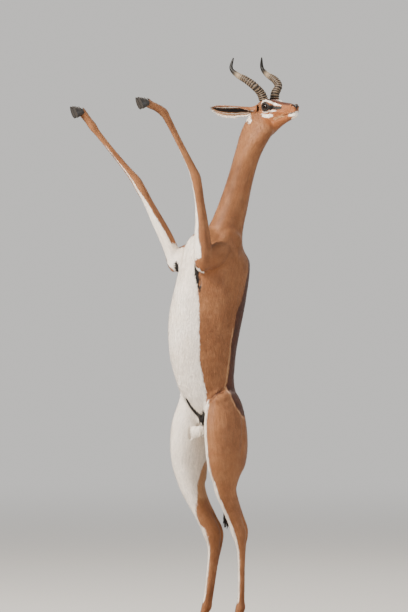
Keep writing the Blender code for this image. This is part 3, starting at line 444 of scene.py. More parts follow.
def loft(rings):
    """A closed mesh through rings of equal point count, with a flat cap at each end."""
    count = len(rings[0])
    last = (len(rings) - 1) * count
    faces = [tuple(reversed(range(count)))]
    for low in range(0, last, count):
        for j in range(count):
            nxt = (j + 1) % count
            faces.append((low + j, low + nxt, low + count + nxt, low + count + j))
    faces.append(tuple(range(last, last + count)))
    mesh = bpy.data.meshes.new("loft")
    mesh.from_pydata([tuple(p) for ring in rings for p in ring], [], faces)
    return outward(mesh)


def limb_stations(rows, front, per_span=4):
    """Centres, directions along, towards the front and to the side, and the rows of a limb."""
    dense = catmull(rows, per_span)
    centres = dense[:, :3]
    along = unit(np.gradient(centres, axis=0))
    if front is None:
        bearing = np.radians(dense[:, 6])
        face = np.stack([np.sin(bearing), -np.cos(bearing), 0 * bearing], axis=1)
    else:
        face = np.tile(np.array(front, float), (len(dense), 1))
    face = square_to(along, face)
    return centres, along, face, np.cross(face, along), dense


def limb(rows, front, sides=32, egg=0.0):
    """Lofts a limb. front is the way its front faces, or None where each row ends with a bearing."""
    centres, _, face, side, dense = limb_stations(rows, front, 6)
    c, s = circle(sides)
    wide = power(c, 2 / LIMB_FULLNESS) * (1 - egg * np.maximum(s, 0))
    deep = power(s, 2 / LIMB_FULLNESS)
    rings = []
    for k, row in enumerate(dense):
        depth = deep * np.where(s > 0, row[4], row[5])
        rings.append(centres[k] + side[k] * (wide * row[3])[:, None] + face[k] * depth[:, None])
    return loft(rings)


def ball(centre, radii, turn=None):
    """An ellipsoid as a mesh. turn is a rotation matrix of its axes."""
    work = bmesh.new()
    bmesh.ops.create_uvsphere(work, u_segments=32, v_segments=16, radius=1)
    matrix = Matrix.Translation(centre)
    if turn is not None:
        matrix = matrix @ turn.to_4x4()
    work.transform(matrix @ Matrix.Diagonal((*radii, 1)))
    return mesh_of(work, "ball")


def head_frame():
    """Turns points of the head, x forwards, y left and z up from between the eyes, into the model's."""
    turn = (
        Matrix.Rotation(HEAD_TURN, 3, "Z")
        @ Matrix.Rotation(-HEAD_PITCH, 3, "Y")
        @ Matrix.Rotation(HEAD_ROLL, 3, "X")
    )
    return Matrix.Translation(HEAD_AT) @ turn.to_4x4()


HEAD = head_frame()
HEAD_AXES = HEAD.to_3x3()
HEAD_TURNED = np.array(HEAD_AXES)


def in_head(x, y, z):
    return HEAD @ Vector((x, y, z))


def from_head(points):
    """Points of the head's frame, as rows, in the model's."""
    return np.asarray(points, float) @ HEAD_TURNED.T + np.array(HEAD_AT)


def to_head(points):
    """The model's points, as rows, in the head's frame."""
    return (np.asarray(points, float) - np.array(HEAD_AT)) @ HEAD_TURNED


def head_loft(rows, count, fullness, above, below):
    """Lofts rows of the head. above and below say how much it narrows over and under its middle."""
    c, s = circle(count)
    rings = []
    for x, middle, wide, up, down in catmull(rows, 6):
        y = power(c, fullness) * wide * (1 - above * np.maximum(s, 0) - below * np.maximum(-s, 0))
        z = middle + power(s, fullness) * np.where(s > 0, up, down)
        rings.append(from_head(np.stack([np.full_like(y, x), y, z], axis=1)))
    return loft(rings)


def head_ball(x, y, z, radii, pitch=0.0, yaw=0.0):
    """An ellipsoid in the head's frame. pitch lifts its front end and yaw turns it to the left."""
    turn = HEAD_AXES @ Matrix.Rotation(yaw, 3, "Z") @ Matrix.Rotation(-pitch, 3, "Y")
    return ball(in_head(x, y, z), radii, turn)


def head_flesh():
    jaw = [(*row, row[3]) for row in JAW]
    meshes = [head_loft(SKULL, 48, 0.88, 0.22, 0.16), head_loft(jaw, 32, 1, 0, 0.25)]
    meshes.append(limb(NECK, None, sides=48))
    for side in (1, -1):
        for x, y, z, radii, pitch, yaw in HEAD_BALLS:
            meshes.append(head_ball(x, side * y, z, radii, pitch, side * yaw))
    meshes.append(head_ball(0.112, 0, -0.053, (0.018, 0.0125, 0.009), 0.1))
    return meshes


def body_flesh():
    meshes = [limb(TRUNK, (0, -1, 0), sides=56, egg=0.20)] + head_flesh()
    meshes += [limb(HIND_LEG_L, HIND_FRONT), limb(HIND_LEG_R, HIND_FRONT)]
    meshes += [limb(UPPER_ARM_L, ARM_FRONT[1]), limb(UPPER_ARM_R, ARM_FRONT[-1])]
    meshes += [limb(FORELEG_L, (0, 1, 0)), limb(FORELEG_R, (0, 1, 0))]
    meshes += [ball(centre, radii) for centre, radii in MUSCLES]
    meshes.append(limb(TAIL, (0, -1, 0), sides=20))
    return meshes


def apply_modifiers(thing):
    """Puts the evaluated mesh in place of the object's own, with no modifiers left on it."""
    depsgraph = bpy.context.evaluated_depsgraph_get()
    mesh = bpy.data.meshes.new_from_object(thing.evaluated_get(depsgraph))
    old = thing.data
    thing.modifiers.clear()
    thing.data = mesh
    bpy.data.meshes.remove(old)


def points_of(mesh):
    """A mesh's points and its normals at them."""
    count = len(mesh.vertices)
    points = np.empty(count * 3)
    mesh.vertices.foreach_get("co", points)
    normals = np.empty(count * 3)
    mesh.vertex_normals.foreach_get("vector", normals)
    return points.reshape(-1, 3), normals.reshape(-1, 3)


def move_points(mesh, points):
    mesh.vertices.foreach_set("co", np.ascontiguousarray(points, float).ravel())
    mesh.update()


def weigh(thing, name, weights):
    """A vertex group from an array of weights, in steps of a fiftieth."""
    group = thing.vertex_groups.new(name=name)
    levels = np.round(np.clip(weights, 0, 1) * 50).astype(int)
    for level in range(1, 51):
        which = np.nonzero(levels == level)[0]
        if len(which):
            group.add(which.tolist(), level / 50, "REPLACE")
    return group


def fuse(name, meshes, voxel, creases, rounds):
    """Joins closed meshes into one smooth skin, smoother still round each crease's centre. rounds says how
    often all of it and then the creases are smoothed."""
    work = bmesh.new()
    for mesh in meshes:
        work.from_mesh(mesh)
        bpy.data.meshes.remove(mesh)
    made = new_object(name, mesh_of(work, name))
    remesh = made.modifiers.new("remesh", "REMESH")
    remesh.mode = "VOXEL"
    remesh.voxel_size = voxel
    smooth = made.modifiers.new("smooth", "SMOOTH")
    smooth.factor = 0.5
    smooth.iterations = rounds[0]
    apply_modifiers(made)
    points, _ = points_of(made.data)
    soft = np.zeros(len(points))
    for centre, radius, most in creases:
        away = np.linalg.norm(points - np.array(centre), axis=1) / radius
        soft = np.maximum(soft, most * np.clip(2 * (1 - away), 0, 1))
    weigh(made, "soft", soft)
    step = made.modifiers.new("soften", "SMOOTH")
    step.factor = 0.5
    step.iterations = rounds[1]
    step.vertex_group = "soft"
    apply_modifiers(made)
    made.vertex_groups.clear()
    return made


def thin(thing, triangles, keep=None):
    """Decimates to about that many triangles. keep is a weight per point for where they stay."""
    step = thing.modifiers.new("thin", "DECIMATE")
    step.ratio = triangles / sum(len(p.vertices) - 2 for p in thing.data.polygons)
    if keep is not None:
        weigh(thing, "keep", keep)
        step.vertex_group = "keep"
        step.invert_vertex_group = True
        step.vertex_group_factor = 1.0
    apply_modifiers(thing)
    thing.vertex_groups.clear()


def distance_to(points, path):
    """Distance of each point to a polyline, and the share of its length at the nearest spot."""
    path = np.asarray(path, float)
    if len(path) == 1:
        return np.linalg.norm(points - path[0], axis=1), np.zeros(len(points))
    best = np.full(len(points), np.inf)
    share = np.zeros(len(points))
    steps = np.diff(path, axis=0)
    lengths = np.linalg.norm(steps, axis=1)
    starts = arc_of(path)
    for a, step, length, start in zip(path[:-1], steps, lengths, starts):
        t = np.clip((points - a) @ step / length**2, 0, 1)
        away = np.linalg.norm(points - a - t[:, None] * step, axis=1)
        nearer = away < best
        best[nearer] = away[nearer]
        share[nearer] = (start + t[nearer] * length) / starts[-1]
    return best, share


def press(points, normals, path, radius, depth):
    """Pushes the skin out, or in where depth is negative, along a path that lies on it."""
    away, share = distance_to(points, path)
    fade = np.clip(np.minimum(share, 1 - share) * 8 + 0.25, 0, 1) if len(path) > 1 else 1.0
    return normals * (depth * np.exp(-((away / radius) ** 2)) * fade)[:, None]


def head_creases():
    return tuple((tuple(in_head(*centre)), radius, most) for centre, radius, most in HEAD_CREASES)


def head_stations():
    """The head's own line from poll to nose, as the limbs have theirs."""
    x = np.linspace(-0.085, 0.125, 22)
    centres = from_head(np.stack([x, 0 * x, -0.022 + 0 * x], axis=1))
    along = np.tile(HEAD_TURNED[:, 0], (22, 1))
    face = np.tile(HEAD_TURNED[:, 2], (22, 1))
    wide = np.interp(x, (-0.09, 0.0, 0.13), (0.040, 0.050, 0.028))
    dense = np.column_stack([centres, wide, wide, wide])
    return centres, along, face, np.cross(face, along), dense


# Each limb: its rows, the way its front faces, 1 where its hair lies along it and -1 where against it, its
# hair's length and width, and the corners of its place on the unwrapped coat
LIMB_TABLE = {
    "trunk": (TRUNK, (0, -1, 0), -1, 0.0120, 0.0019, (0.00, 0.00, 0.40, 0.56)),
    "neck": (NECK, None, -1, 0.0095, 0.0016, (0.41, 0.00, 0.62, 0.40)),
    "head": (None, None, -1, 0.0055, 0.0011, (0.63, 0.00, 1.00, 0.40)),
    "hind_left": (HIND_LEG_L, HIND_FRONT, 1, 0.0085, 0.0015, (0.41, 0.41, 0.60, 0.99)),
    "hind_right": (HIND_LEG_R, HIND_FRONT, 1, 0.0085, 0.0015, (0.61, 0.41, 0.80, 0.99)),
    "arm_left": (UPPER_ARM_L, ARM_FRONT[1], 1, 0.0100, 0.0017, (0.00, 0.86, 0.19, 0.99)),
    "arm_right": (UPPER_ARM_R, ARM_FRONT[-1], 1, 0.0100, 0.0017, (0.20, 0.86, 0.40, 0.99)),
    "fore_left": (FORELEG_L, (0, 1, 0), 1, 0.0075, 0.0014, (0.00, 0.57, 0.19, 0.85)),
    "fore_right": (FORELEG_R, (0, 1, 0), 1, 0.0075, 0.0014, (0.20, 0.57, 0.40, 0.85)),
    "tail": (TAIL, (0, -1, 0), 1, 0.0120, 0.0016, (0.81, 0.41, 0.99, 0.99)),
}
LIMBS = {
    name: (limb_stations(rows, front) if rows else head_stations(), *rest)
    for name, (rows, front, *rest) in LIMB_TABLE.items()
}


def locate(points):
    """Where points lie on the limbs: the share of each limb, the way the coat lies, its length and
    width, stretched coordinates for streaks, and the unwrapped place."""
    near = np.empty((len(points), len(LIMBS)))
    found = []
    for k, (stations, sense, *_) in enumerate(LIMBS.values()):
        centres, along, face, side, dense = stations
        gap = np.sum(points**2, axis=1)[:, None] - 2 * points @ centres.T + np.sum(centres**2, axis=1)
        nearest = np.argmin(gap, axis=1)
        away = points - centres[nearest]
        up = np.sum(away * along[nearest], axis=1)
        radial = away - along[nearest] * up[:, None]
        arc = arc_of(centres)
        size = dense[nearest, 3:6].mean(axis=1)
        near[:, k] = np.sqrt(np.sum(radial**2, axis=1) + np.maximum(np.abs(up) - 0.01, 0) ** 2) / size
        angle = np.arctan2(np.sum(radial * side[nearest], axis=1), np.sum(radial * face[nearest], axis=1))
        reached = arc[nearest] + up
        stretched = radial + unit(centres[-1] - centres[0]) * (reached * STREAK_STRETCH)[:, None]
        found.append((along[nearest] * sense, stretched, angle, np.clip(reached / arc[-1], 0, 1)))
    weight = np.exp(-5 * (near - near.min(axis=1, keepdims=True)))
    weight /= weight.sum(axis=1, keepdims=True)
    own = np.argmin(near, axis=1)
    flow, streak, long, wide = 0, 0, 0, 0
    place = np.zeros((len(points), 2))
    for k, (lie, stretched, angle, share) in enumerate(found):
        *_, hair, hair_wide, cell = list(LIMBS.values())[k]
        w = weight[:, k : k + 1]
        flow = flow + w * lie
        streak = streak + w * stretched
        long = long + w[:, 0] * hair
        wide = wide + w[:, 0] * hair_wide
        corner, size = np.array(cell[:2]), np.array(cell[2:]) - np.array(cell[:2])
        turned = np.column_stack([0.03 + 0.94 * (angle / math.tau + 0.5), 0.02 + 0.96 * share])
        place[own == k] = (corner + size * turned)[own == k]
    return {
        "weight": dict(zip(LIMBS, weight.T)),
        "angle": {name: found[k][2] for k, name in enumerate(LIMBS)},
        "flow": unit(flow),
        "streak": streak,
        "long": long,
        "wide": wide,
        "place": place,
    }


def inside(points, path, sizes):
    """How far inside a tube along the path each point is. sizes are its radii at the path's spots, or one."""
    away, share = distance_to(points, path)
    sizes = np.atleast_1d(sizes)
    steps = arc_of(path) if len(sizes) == len(path) else np.zeros(1)
    return np.interp(share, steps / max(steps[-1], 1e-9), sizes) - away


MARKS = ("white", "dark", "pale", "black", "warm")


def either(*found):
    """Joined markings: a point lies in them if it lies in one."""
    return np.maximum.reduce(found)


# Borders on the trunk by height: where the white belly ends and where the dark saddle starts
BELLY_EDGE = (
    (0.80, 0.90, 0.956, 1.003, 1.074, 1.171, 1.268, 1.357, 1.403, 1.46),
    (-0.150, -0.114, -0.122, -0.138, -0.158, -0.162, -0.161, -0.157, -0.152, -0.150),
)
SADDLE_EDGE = (
    (0.80, 0.85, 0.889, 0.93, 0.974, 1.040, 1.149, 1.258, 1.323, 1.381, 1.42, 1.50, 1.56),
    (0.060, 0.026, -0.010, -0.026, -0.033, -0.024, -0.015, 0.005, 0.045, 0.067, 0.084, 0.092, 0.080),
)
# White on the inner side of the hind legs: height, then its edge ahead and its edge behind, in degrees from
# the chest's way with the inner side positive, for the left and for the right leg
HIND_WHITE_AT = (0.34, 0.40, 0.44, 0.48, 0.55, 0.62, 0.68, 0.72, 0.80, 0.90)
HIND_WHITE = {
    1: ((-25, -25, -23, -21, -17, -8, -7, -7, -7, -5), (30, 40, 50, 64, 86, 102, 110, 116, 126, 132)),
    -1: ((-36, -34, -30, -26, -20, -13, -13, -13, -18, -26), (18, 14, 8, 20, 76, 112, 150, 165, 165, 150)),
}
# The white line down the front of the cannons: height and its middle in degrees for both legs
CANNON_LINE = ((0.10, 0.13, 0.21, 0.33, 0.42), (4, 4, 4, 4, 4), (-12, -12, -12, -10, -10))
CANNON_LINE_HALF = 29
# White of the raised forelegs: height, its edge to the outer side and to the inner side, in degrees from the
# hollow of the leg
FORE_WHITE_AT = (1.435, 1.462, 1.505, 1.544, 1.60, 1.664, 1.73, 1.80, 1.88)
FORE_WHITE = {
    1: ((-28, -44, -44, -26, -24, -6, 6, 10, 12), (112, 112, 112, 112, 105, 80, 46, 38, 32)),
    -1: ((-60, -60, -62, -64, -56, -26, 0, 5, 8), (80, 82, 84, 82, 74, 50, 24, 20, 16)),
}
DEGREE = math.pi / 180


def strip(turn, first, last, radius):
    """How far inside a strip between two turns round a limb each point is."""
    return np.minimum(turn - first, last - turn) * DEGREE * radius


def leg_white(points, where):
    """White of the hind legs' inner sides, of the cannons' front lines and of the forelegs' hollows."""
    z = points[:, 2]
    white, soft = np.full(len(points), NOT_HERE), np.full(len(points), NOT_HERE)
    for name, side in (("hind_left", 1), ("hind_right", -1)):
        rows = LIMBS[name][0][4]
        radius = np.interp(-z, -rows[:, 2], rows[:, 3])
        inner = -side * (np.degrees(where["angle"][name]) + 11.5)
        inner = (inner + 180) % 360 - 180
        first, last = (np.interp(z, HIND_WHITE_AT, row) for row in HIND_WHITE[side])
        edge = np.where(z < 0.33, -0.02, strip(inner, first, last, radius))
        middle = np.interp(z, CANNON_LINE[0], CANNON_LINE[1 if side > 0 else 2])
        line = strip(inner, middle - CANNON_LINE_HALF, middle + CANNON_LINE_HALF, radius)
        line = np.where((z < 0.125) | (z > 0.42), -0.02, line)
        edge = np.where(where["weight"][name] > 0.30, np.maximum(edge, line), NOT_HERE)
        if side < 0:
            soft = np.minimum(edge + 0.028, np.minimum(z - 0.53, 0.72 - z) * 0.3)
        white = np.where(z < 0.93, np.maximum(white, edge), white)
    for name, side in (("fore_left", 1), ("fore_right", -1)):
        inner = side * ((np.degrees(where["angle"][name]) + 360) % 360 - 180)
        first, last = (np.interp(z, FORE_WHITE_AT, row) for row in FORE_WHITE[side])
        radius = np.interp(z, (1.44, 1.55, 1.70), (0.034, 0.028, 0.018))
        edge = strip(inner, first, last, radius)
        edge = np.minimum(edge, (1.89 - z) * 0.1)
        edge = np.minimum(edge, (z - (1.40 if side > 0 else 1.428)) * 0.8)
        white = np.maximum(white, np.where(where["weight"][name] > 0.45, edge, NOT_HERE))
    return white, soft


RUMP = ((0.0, 0.085, 0.83), (0.0, 0.075, 0.74), (0.0, 0.03, 0.66))
# The flank's fold, from the hip's point down to the groin: painted shade darkens the coat along it
FLANK_FOLD_SHADE = ((0.084, -0.020, 0.975), (0.096, -0.064, 0.953), (0.089, -0.099, 0.934), (0.078, -0.114, 0.915))
# The edge of the purse
PURSE = ((0.040, -0.120, 0.806), (0.041, -0.114, 0.784), (0.029, -0.112, 0.766), (0.006, -0.116, 0.758),
         (-0.021, -0.124, 0.766), (-0.030, -0.130, 0.786), (-0.024, -0.130, 0.808))


def body_marks(points, where):
    """Markings of everything but the head's face, and painted shade in the groin, behind the elbows and along
    the flank's fold, each in metres inside its border.
    """
    x, y, z = points.T
    weight = where["weight"]
    belly = np.interp(z, *BELLY_EDGE) - y
    belly = np.minimum(belly, (1.520 - z) * 0.8)
    belly = np.minimum(belly, 0.086 - np.abs(x))
    chest = either(
        inside(points, [(0, -0.185, 1.50), (0, -0.175, 1.44)], [0.064, 0.068]),
        inside(points, [(-0.020, -0.190, 1.550), (-0.045, -0.180, 1.480)], [0.062, 0.072]),
    )
    legs, soft = leg_white(points, where)
    raised = weight["fore_left"] + weight["fore_right"]
    white = either(
        np.where(z > 0.80, belly, NOT_HERE),
        np.where(raised > 0.5, NOT_HERE, chest),
        inside(points, [(0.092, -0.208, 1.520), (0.092, -0.204, 1.478)], [0.020, 0.021]),
        inside(points, [(0.02, -0.146, 1.554), (-0.045, -0.145, 1.514)], 0.026),
        inside(points, [(0.086, -0.098, 1.556), (0.074, -0.104, 1.566)], 0.008),
        legs,
        inside(points, [(0.0, -0.13, 0.90), (0.004, -0.10, 0.84), (0.0, -0.05, 0.76)], [0.060, 0.062, 0.06]),
        inside(points, [(0.007, -0.118, 0.792)], 0.044),
        np.where(weight["tail"] > 0.5, -0.03, inside(points, RUMP, [0.040, 0.060, 0.035])),
    )
    saddle = np.minimum((y - np.interp(z, *SADDLE_EDGE)) * 0.9, 0.02)
    saddle = np.minimum(saddle, (1.60 - z) * 0.4)
    saddle = np.minimum(saddle, (z - 0.815 - 0.35 * np.abs(x)) * 0.7)
    pale = 0.0035 - np.abs(saddle + 0.0045)
    pale = np.where((z > 0.84) & (z < 1.20), pale, -0.02)
    dark = np.minimum(saddle, np.where(weight["tail"] > 0.6, -0.02, 1.0))
    # painted shade along the flank's fold
    dark = np.maximum(dark, inside(points, FLANK_FOLD_SHADE, [0.002, 0.0075, 0.0065, 0.004]) * 0.6)
    pale = either(pale, inside(points, PURSE, 0.0075) * 0.8, soft)
    # painted shade in the crease of the groin, between the thighs and in the slits behind the elbows, then
    # the real black of the tail's tuft and the rims of the hooves
    black = either(
        inside(points, [(-0.002, -0.166, 0.925), (-0.008, -0.146, 0.895), (0.002, -0.118, 0.860),
                        (0.014, -0.102, 0.846)], [0.008, 0.0125, 0.015, 0.022]),
        inside(points, [(0.036, -0.108, 0.872), (0.024, -0.098, 0.845), (0.026, -0.085, 0.815)],
               [0.006, 0.021, 0.016]),
        inside(points, [(0.030, -0.098, 0.772)], 0.012),
        # the slits behind both elbows: painted shade
        inside(points, [(0.060, -0.172, 1.450), (0.066, -0.162, 1.420), (0.071, -0.154, 1.385),
                        (0.076, -0.152, 1.345)], [0.0130, 0.0145, 0.0115, 0.004]),
        inside(points, [(-0.064, -0.162, 1.448), (-0.070, -0.152, 1.410), (-0.074, -0.146, 1.360)],
               [0.010, 0.011, 0.004]),
        np.where(weight["tail"] > 0.5, 0.53 - z, NOT_HERE) * 0.5,
        0.056 - z,
    )
    for name in ("fore_left", "fore_right"):
        tip = LIMBS[name][0][0][-1]
        black = either(black, 0.010 - np.linalg.norm(points - tip, axis=1) * 0.6)
    # painted shade behind the near elbow, drawn as a deeper orange
    elbow = np.linalg.norm(points - np.array((0.104, -0.105, 1.425)), axis=1)
    warm = 0.75 * np.exp(-((elbow / 0.045) ** 2))
    return {"white": white, "dark": dark, "pale": pale, "black": black, "warm": warm}


# Markings of the head in its frame, mirrored about its middle: kind, path and radii
FACE_MARKS = (
    ("white", ((-0.028, 0.040, 0.012), (-0.018, 0.043, 0.025), (-0.001, 0.040, 0.027), (0.023, 0.030, 0.017),
               (0.030, 0.024, 0.010), (0.040, 0.022, 0.005), (0.062, 0.018, -0.003)),
     (0.0040, 0.0060, 0.0065, 0.0090, 0.0070, 0.0055, 0.0025)),
    ("white", ((-0.018, 0.047, -0.028), (-0.002, 0.036, -0.036), (0.020, 0.030, -0.036)),
     (0.0065, 0.0080, 0.0050)),
    ("white", ((-0.012, 0.044, -0.021), (0.020, 0.036, -0.020), (0.042, 0.026, -0.020)),
     (0.0035, 0.0045, 0.0022)),
    ("white", ((0.074, 0.022, -0.050), (0.104, 0.018, -0.047), (0.134, 0.0, -0.044)), (0.002, 0.0065, 0.009)),
    ("white", ((0.108, 0.0, -0.063), (0.126, 0.0, -0.055)), (0.009, 0.010)),
    ("white", ((-0.036, 0.010, -0.112),), (0.012,)),
    ("pale", ((0.000, 0.045, -0.103),), (0.015,)),
    ("pale", ((0.030, 0.027, -0.052), (0.072, 0.020, -0.046)), (0.008, 0.006)),
    ("dark", ((-0.075, 0.0, 0.040), (-0.02, 0.0, 0.044), (0.03, 0.0, 0.026), (0.075, 0.0, 0.008),
              (0.118, 0.0, -0.006)), (0.027, 0.034, 0.0250, 0.0170, 0.0120)),
    ("black", ((0.016, 0.042, -0.002), (0.027, 0.034, -0.006), (0.044, 0.0265, -0.010),
               (0.066, 0.022, -0.014)), (0.0090, 0.0092, 0.0078, 0.0050)),
    ("black", ((0.128, 0.0, -0.010), (0.136, 0.0, -0.022), (0.134, 0.0, -0.034)), (0.0085, 0.0075, 0.004)),
    ("black", ((0.121, 0.0125, -0.010), (0.131, 0.010, -0.015)), (0.004, 0.005)),
    ("black", ((0.066, 0.0215, -0.047), (0.100, 0.0175, -0.0436), (0.130, 0.008, -0.0406),
               (0.1365, 0.0, -0.040)), (0.0012, 0.0016, 0.0018, 0.0018)),
    ("black", ((-0.019, 0.030, 0.030),), (0.016,)),
)
# The white under the ear's root: path and radii
EAR_PATCH = (((-0.088, 0.046, -0.014), (-0.078, 0.059, -0.032), (-0.064, 0.066, -0.045)),
             (0.009, 0.0105, 0.0075))


def head_marks(points):
    """Markings of the head, as the body's."""
    h = to_head(points)
    h[:, 1] = np.abs(h[:, 1])
    x, y, z = h.T
    made = {name: np.full(len(x), -0.03) for name in MARKS[:-1]}
    ring = 1 - np.sqrt((x / 0.0285) ** 2 + ((z - 0.001) / 0.0235) ** 2)
    made["white"] = np.where(y > 0.018, np.minimum(ring * 0.020, (0.006 - x) * 0.8), -0.02)
    lid = 1 - np.sqrt((x / 0.0240) ** 2 + ((z - 0.0008) / 0.0190) ** 2)
    made["black"] = np.where(y > 0.025, lid * 0.016, -0.02)
    for kind, path, radii in FACE_MARKS:
        made[kind] = np.maximum(made[kind], inside(h, path, radii))
    made["warm"] = np.clip((0.10 + x) / 0.05, 0, 1)
    return made


def marks(points, where):
    """All markings of the skin in centimetres, the head's taking over from the body's at the poll."""
    body = body_marks(points, where)
    face = head_marks(points)
    share = np.clip((where["weight"]["head"] - 0.35) / 0.3, 0, 1)
    made = {}
    for name in MARKS:
        made[name] = body[name] * (1 - share) + face[name] * share
    h = to_head(points)
    h[:, 1] = np.abs(h[:, 1])
    made["white"] = np.maximum(made["white"], inside(h, *EAR_PATCH))
    for name in MARKS[:-1]:
        made[name] = np.clip(made[name] * 100, -3, 3)
    return made


# Folds and tendons of the body: a path on the skin, its radius and how far it stands out
BODY_DETAIL = (
    # the flank's fold from the hip's point down to the groin, and the swell of the thigh under it
    (((0.086, -0.026, 0.972), (0.096, -0.066, 0.953), (0.088, -0.100, 0.934), (0.078, -0.114, 0.915)),
     0.0060, -0.0065),
    (((0.104, -0.020, 0.945), (0.106, -0.060, 0.928), (0.096, -0.100, 0.902)), 0.013, 0.0042),
    (((-0.086, -0.056, 0.972), (-0.096, -0.090, 0.950), (-0.088, -0.125, 0.925), (-0.070, -0.145, 0.905)),
     0.0055, -0.0045),
    (((-0.106, -0.055, 0.940), (-0.108, -0.095, 0.915), (-0.096, -0.135, 0.885)), 0.013, 0.0030),
    # the crease between belly and right thigh
    (((-0.002, -0.166, 0.925), (-0.008, -0.146, 0.895), (0.002, -0.118, 0.860)), 0.0055, -0.0080),
    (PURSE, 0.0045, -0.0085),
    (((0.050, -0.122, 0.905), (0.030, -0.110, 0.868), (0.010, -0.104, 0.846)), 0.0060, -0.0050),
    # ribs' edge and the hollow of the flank
    (((0.098, -0.070, 1.085), (0.104, -0.030, 1.120), (0.098, 0.020, 1.165)), 0.014, -0.0022),
    (((-0.098, -0.070, 1.085), (-0.104, -0.030, 1.120), (-0.098, 0.020, 1.165)), 0.014, -0.0022),
    # armpits and the edge of the shoulder
    (((0.063, -0.170, 1.448), (0.070, -0.158, 1.410), (0.075, -0.152, 1.360)), 0.0060, -0.0080),
    (((-0.070, -0.160, 1.430), (-0.078, -0.152, 1.400), (-0.082, -0.140, 1.372)), 0.0060, -0.0060),
    (((0.085, -0.020, 1.505), (0.096, -0.050, 1.460), (0.098, -0.085, 1.425)), 0.010, -0.0028),
    (((-0.085, -0.020, 1.505), (-0.096, -0.050, 1.460), (-0.098, -0.085, 1.425)), 0.010, -0.0028),
    # the middle of the chest and belly
    (((0.0, -0.215, 1.500), (0.0, -0.210, 1.440)), 0.010, -0.0040),
    (((0.0, -0.235, 1.300), (0.0, -0.236, 1.150), (0.0, -0.225, 1.050)), 0.012, -0.0012),
    (((0.0, -0.200, 0.968), (0.0, -0.196, 0.990)), 0.009, 0.0030),
    # the muscles' borders behind the thigh
    (((0.112, 0.020, 0.860), (0.122, 0.010, 0.780), (0.118, -0.005, 0.700)), 0.011, -0.0026),
    (((-0.114, -0.020, 0.860), (-0.124, -0.045, 0.780), (-0.120, -0.065, 0.700)), 0.011, -0.0026),
    (((0.060, 0.066, 0.800), (0.062, 0.060, 0.730), (0.066, 0.050, 0.660)), 0.014, -0.0030),
    (((-0.060, 0.030, 0.800), (-0.062, 0.010, 0.730), (-0.066, -0.010, 0.660)), 0.014, -0.0030),
    # the throat's two sides and the jugular furrow
    (((0.075, 0.045, 1.640), (0.085, 0.070, 1.760), (0.098, 0.095, 1.860)), 0.0085, -0.0022),
)
# Hollows beside the tendons of the lower legs: limb, share of its length at the start and end,
# degrees from its front (a row stands for both sides of the limb), radius and how far it stands out
TENDONS = (
    ("hind", 0.46, 0.60, 118, 0.0075, -0.0042),
    ("hind", 0.68, 0.84, 96, 0.0042, -0.0020),
    ("fore", 0.60, 0.80, 96, 0.0042, -0.0020),
    ("hind", 0.62, 0.66, 180, 0.0080, 0.0022),
    ("fore", 0.46, 0.52, 0, 0.0090, 0.0016),
    ("fore", 0.14, 0.40, 75, 0.0080, -0.0020),
)
# The head's forms, in its own frame and on its left: path, radius and how far it stands out
HEAD_DETAIL = (
    (((0.026, 0.033, -0.010), (0.040, 0.028, -0.014)), 0.0040, -0.0022),
    (((0.018, 0.046, 0.020), (-0.006, 0.050, 0.024), (-0.026, 0.044, 0.016)), 0.0055, 0.0022),
    (((0.022, 0.040, -0.020), (0.052, 0.030, -0.030), (0.082, 0.024, -0.034)), 0.0055, 0.0016),
    (((-0.040, 0.036, -0.030), (-0.028, 0.034, -0.062), (-0.004, 0.030, -0.084)), 0.0075, -0.0016),
    (((-0.052, 0.030, -0.050), (-0.044, 0.026, -0.078)), 0.0070, 0.0018),
    (((0.066, 0.0225, -0.0415), (0.100, 0.019, -0.0385), (0.128, 0.012, -0.0355)), 0.0040, 0.0014),
    (((0.066, 0.0215, -0.0525), (0.100, 0.0165, -0.0490), (0.126, 0.008, -0.0460)), 0.0035, 0.0009),
    (((0.064, 0.0220, -0.0472), (0.083, 0.0197, -0.0453), (0.100, 0.0180, -0.0436), (0.118, 0.0145, -0.0418),
      (0.129, 0.0085, -0.0407), (0.1335, 0.0, -0.0402)), 0.0015, -0.0038),
    (((0.110, 0.0160, -0.0080), (0.122, 0.0150, -0.0075), (0.131, 0.0110, -0.0115)), 0.0035, 0.0016),
    (((0.118, 0.0150, -0.0150), (0.1235, 0.0138, -0.0118), (0.1290, 0.0110, -0.0140)), 0.0021, -0.0062),
    (((0.1285, 0.0110, -0.0150), (0.1310, 0.0090, -0.0175)), 0.0022, -0.0050),
    (((0.134, 0.0, -0.016), (0.136, 0.0, -0.032), (0.1345, 0.0, -0.039)), 0.0016, -0.0013),
    (((-0.066, 0.026, 0.020), (-0.078, 0.030, 0.004), (-0.072, 0.034, -0.014)), 0.0080, 0.0030),
    (((0.070, 0.0165, -0.004), (0.105, 0.0150, -0.010)), 0.0050, -0.0010),
)
EYE_OPENING = (0.0150, 0.0112, 0.0092, -0.1)   # half length, up, down and lean of the lids' opening
# The lid's section from under its edge to where it sinks in: outwards from the opening, and above the eye
LID_PROFILE = (
    (-0.0012, -0.0012), (-0.0003, 0.0002), (0.0000, 0.0011), (0.0008, 0.0018), (0.0020, 0.0020),
    (0.0036, 0.0016), (0.0055, 0.0007), (0.0075, -0.0012),
)


def limb_point(name, share, turn):
    """A spot on a limb's surface at a share of its length and so many degrees from its front."""
    centres, along, face, side, dense = LIMBS[name][0]
    k = int(round(share * (len(centres) - 1)))
    c, s = math.cos(math.radians(turn)), math.sin(math.radians(turn))
    depth = dense[k, 4] if c > 0 else dense[k, 5]
    return centres[k] + face[k] * (c * depth) + side[k] * (s * dense[k, 3])


def snap(points, path):
    """The path's spots moved to the nearest points of the skin."""
    return np.array([points[np.argmin(np.sum((points - np.array(p)) ** 2, axis=1))] for p in path])


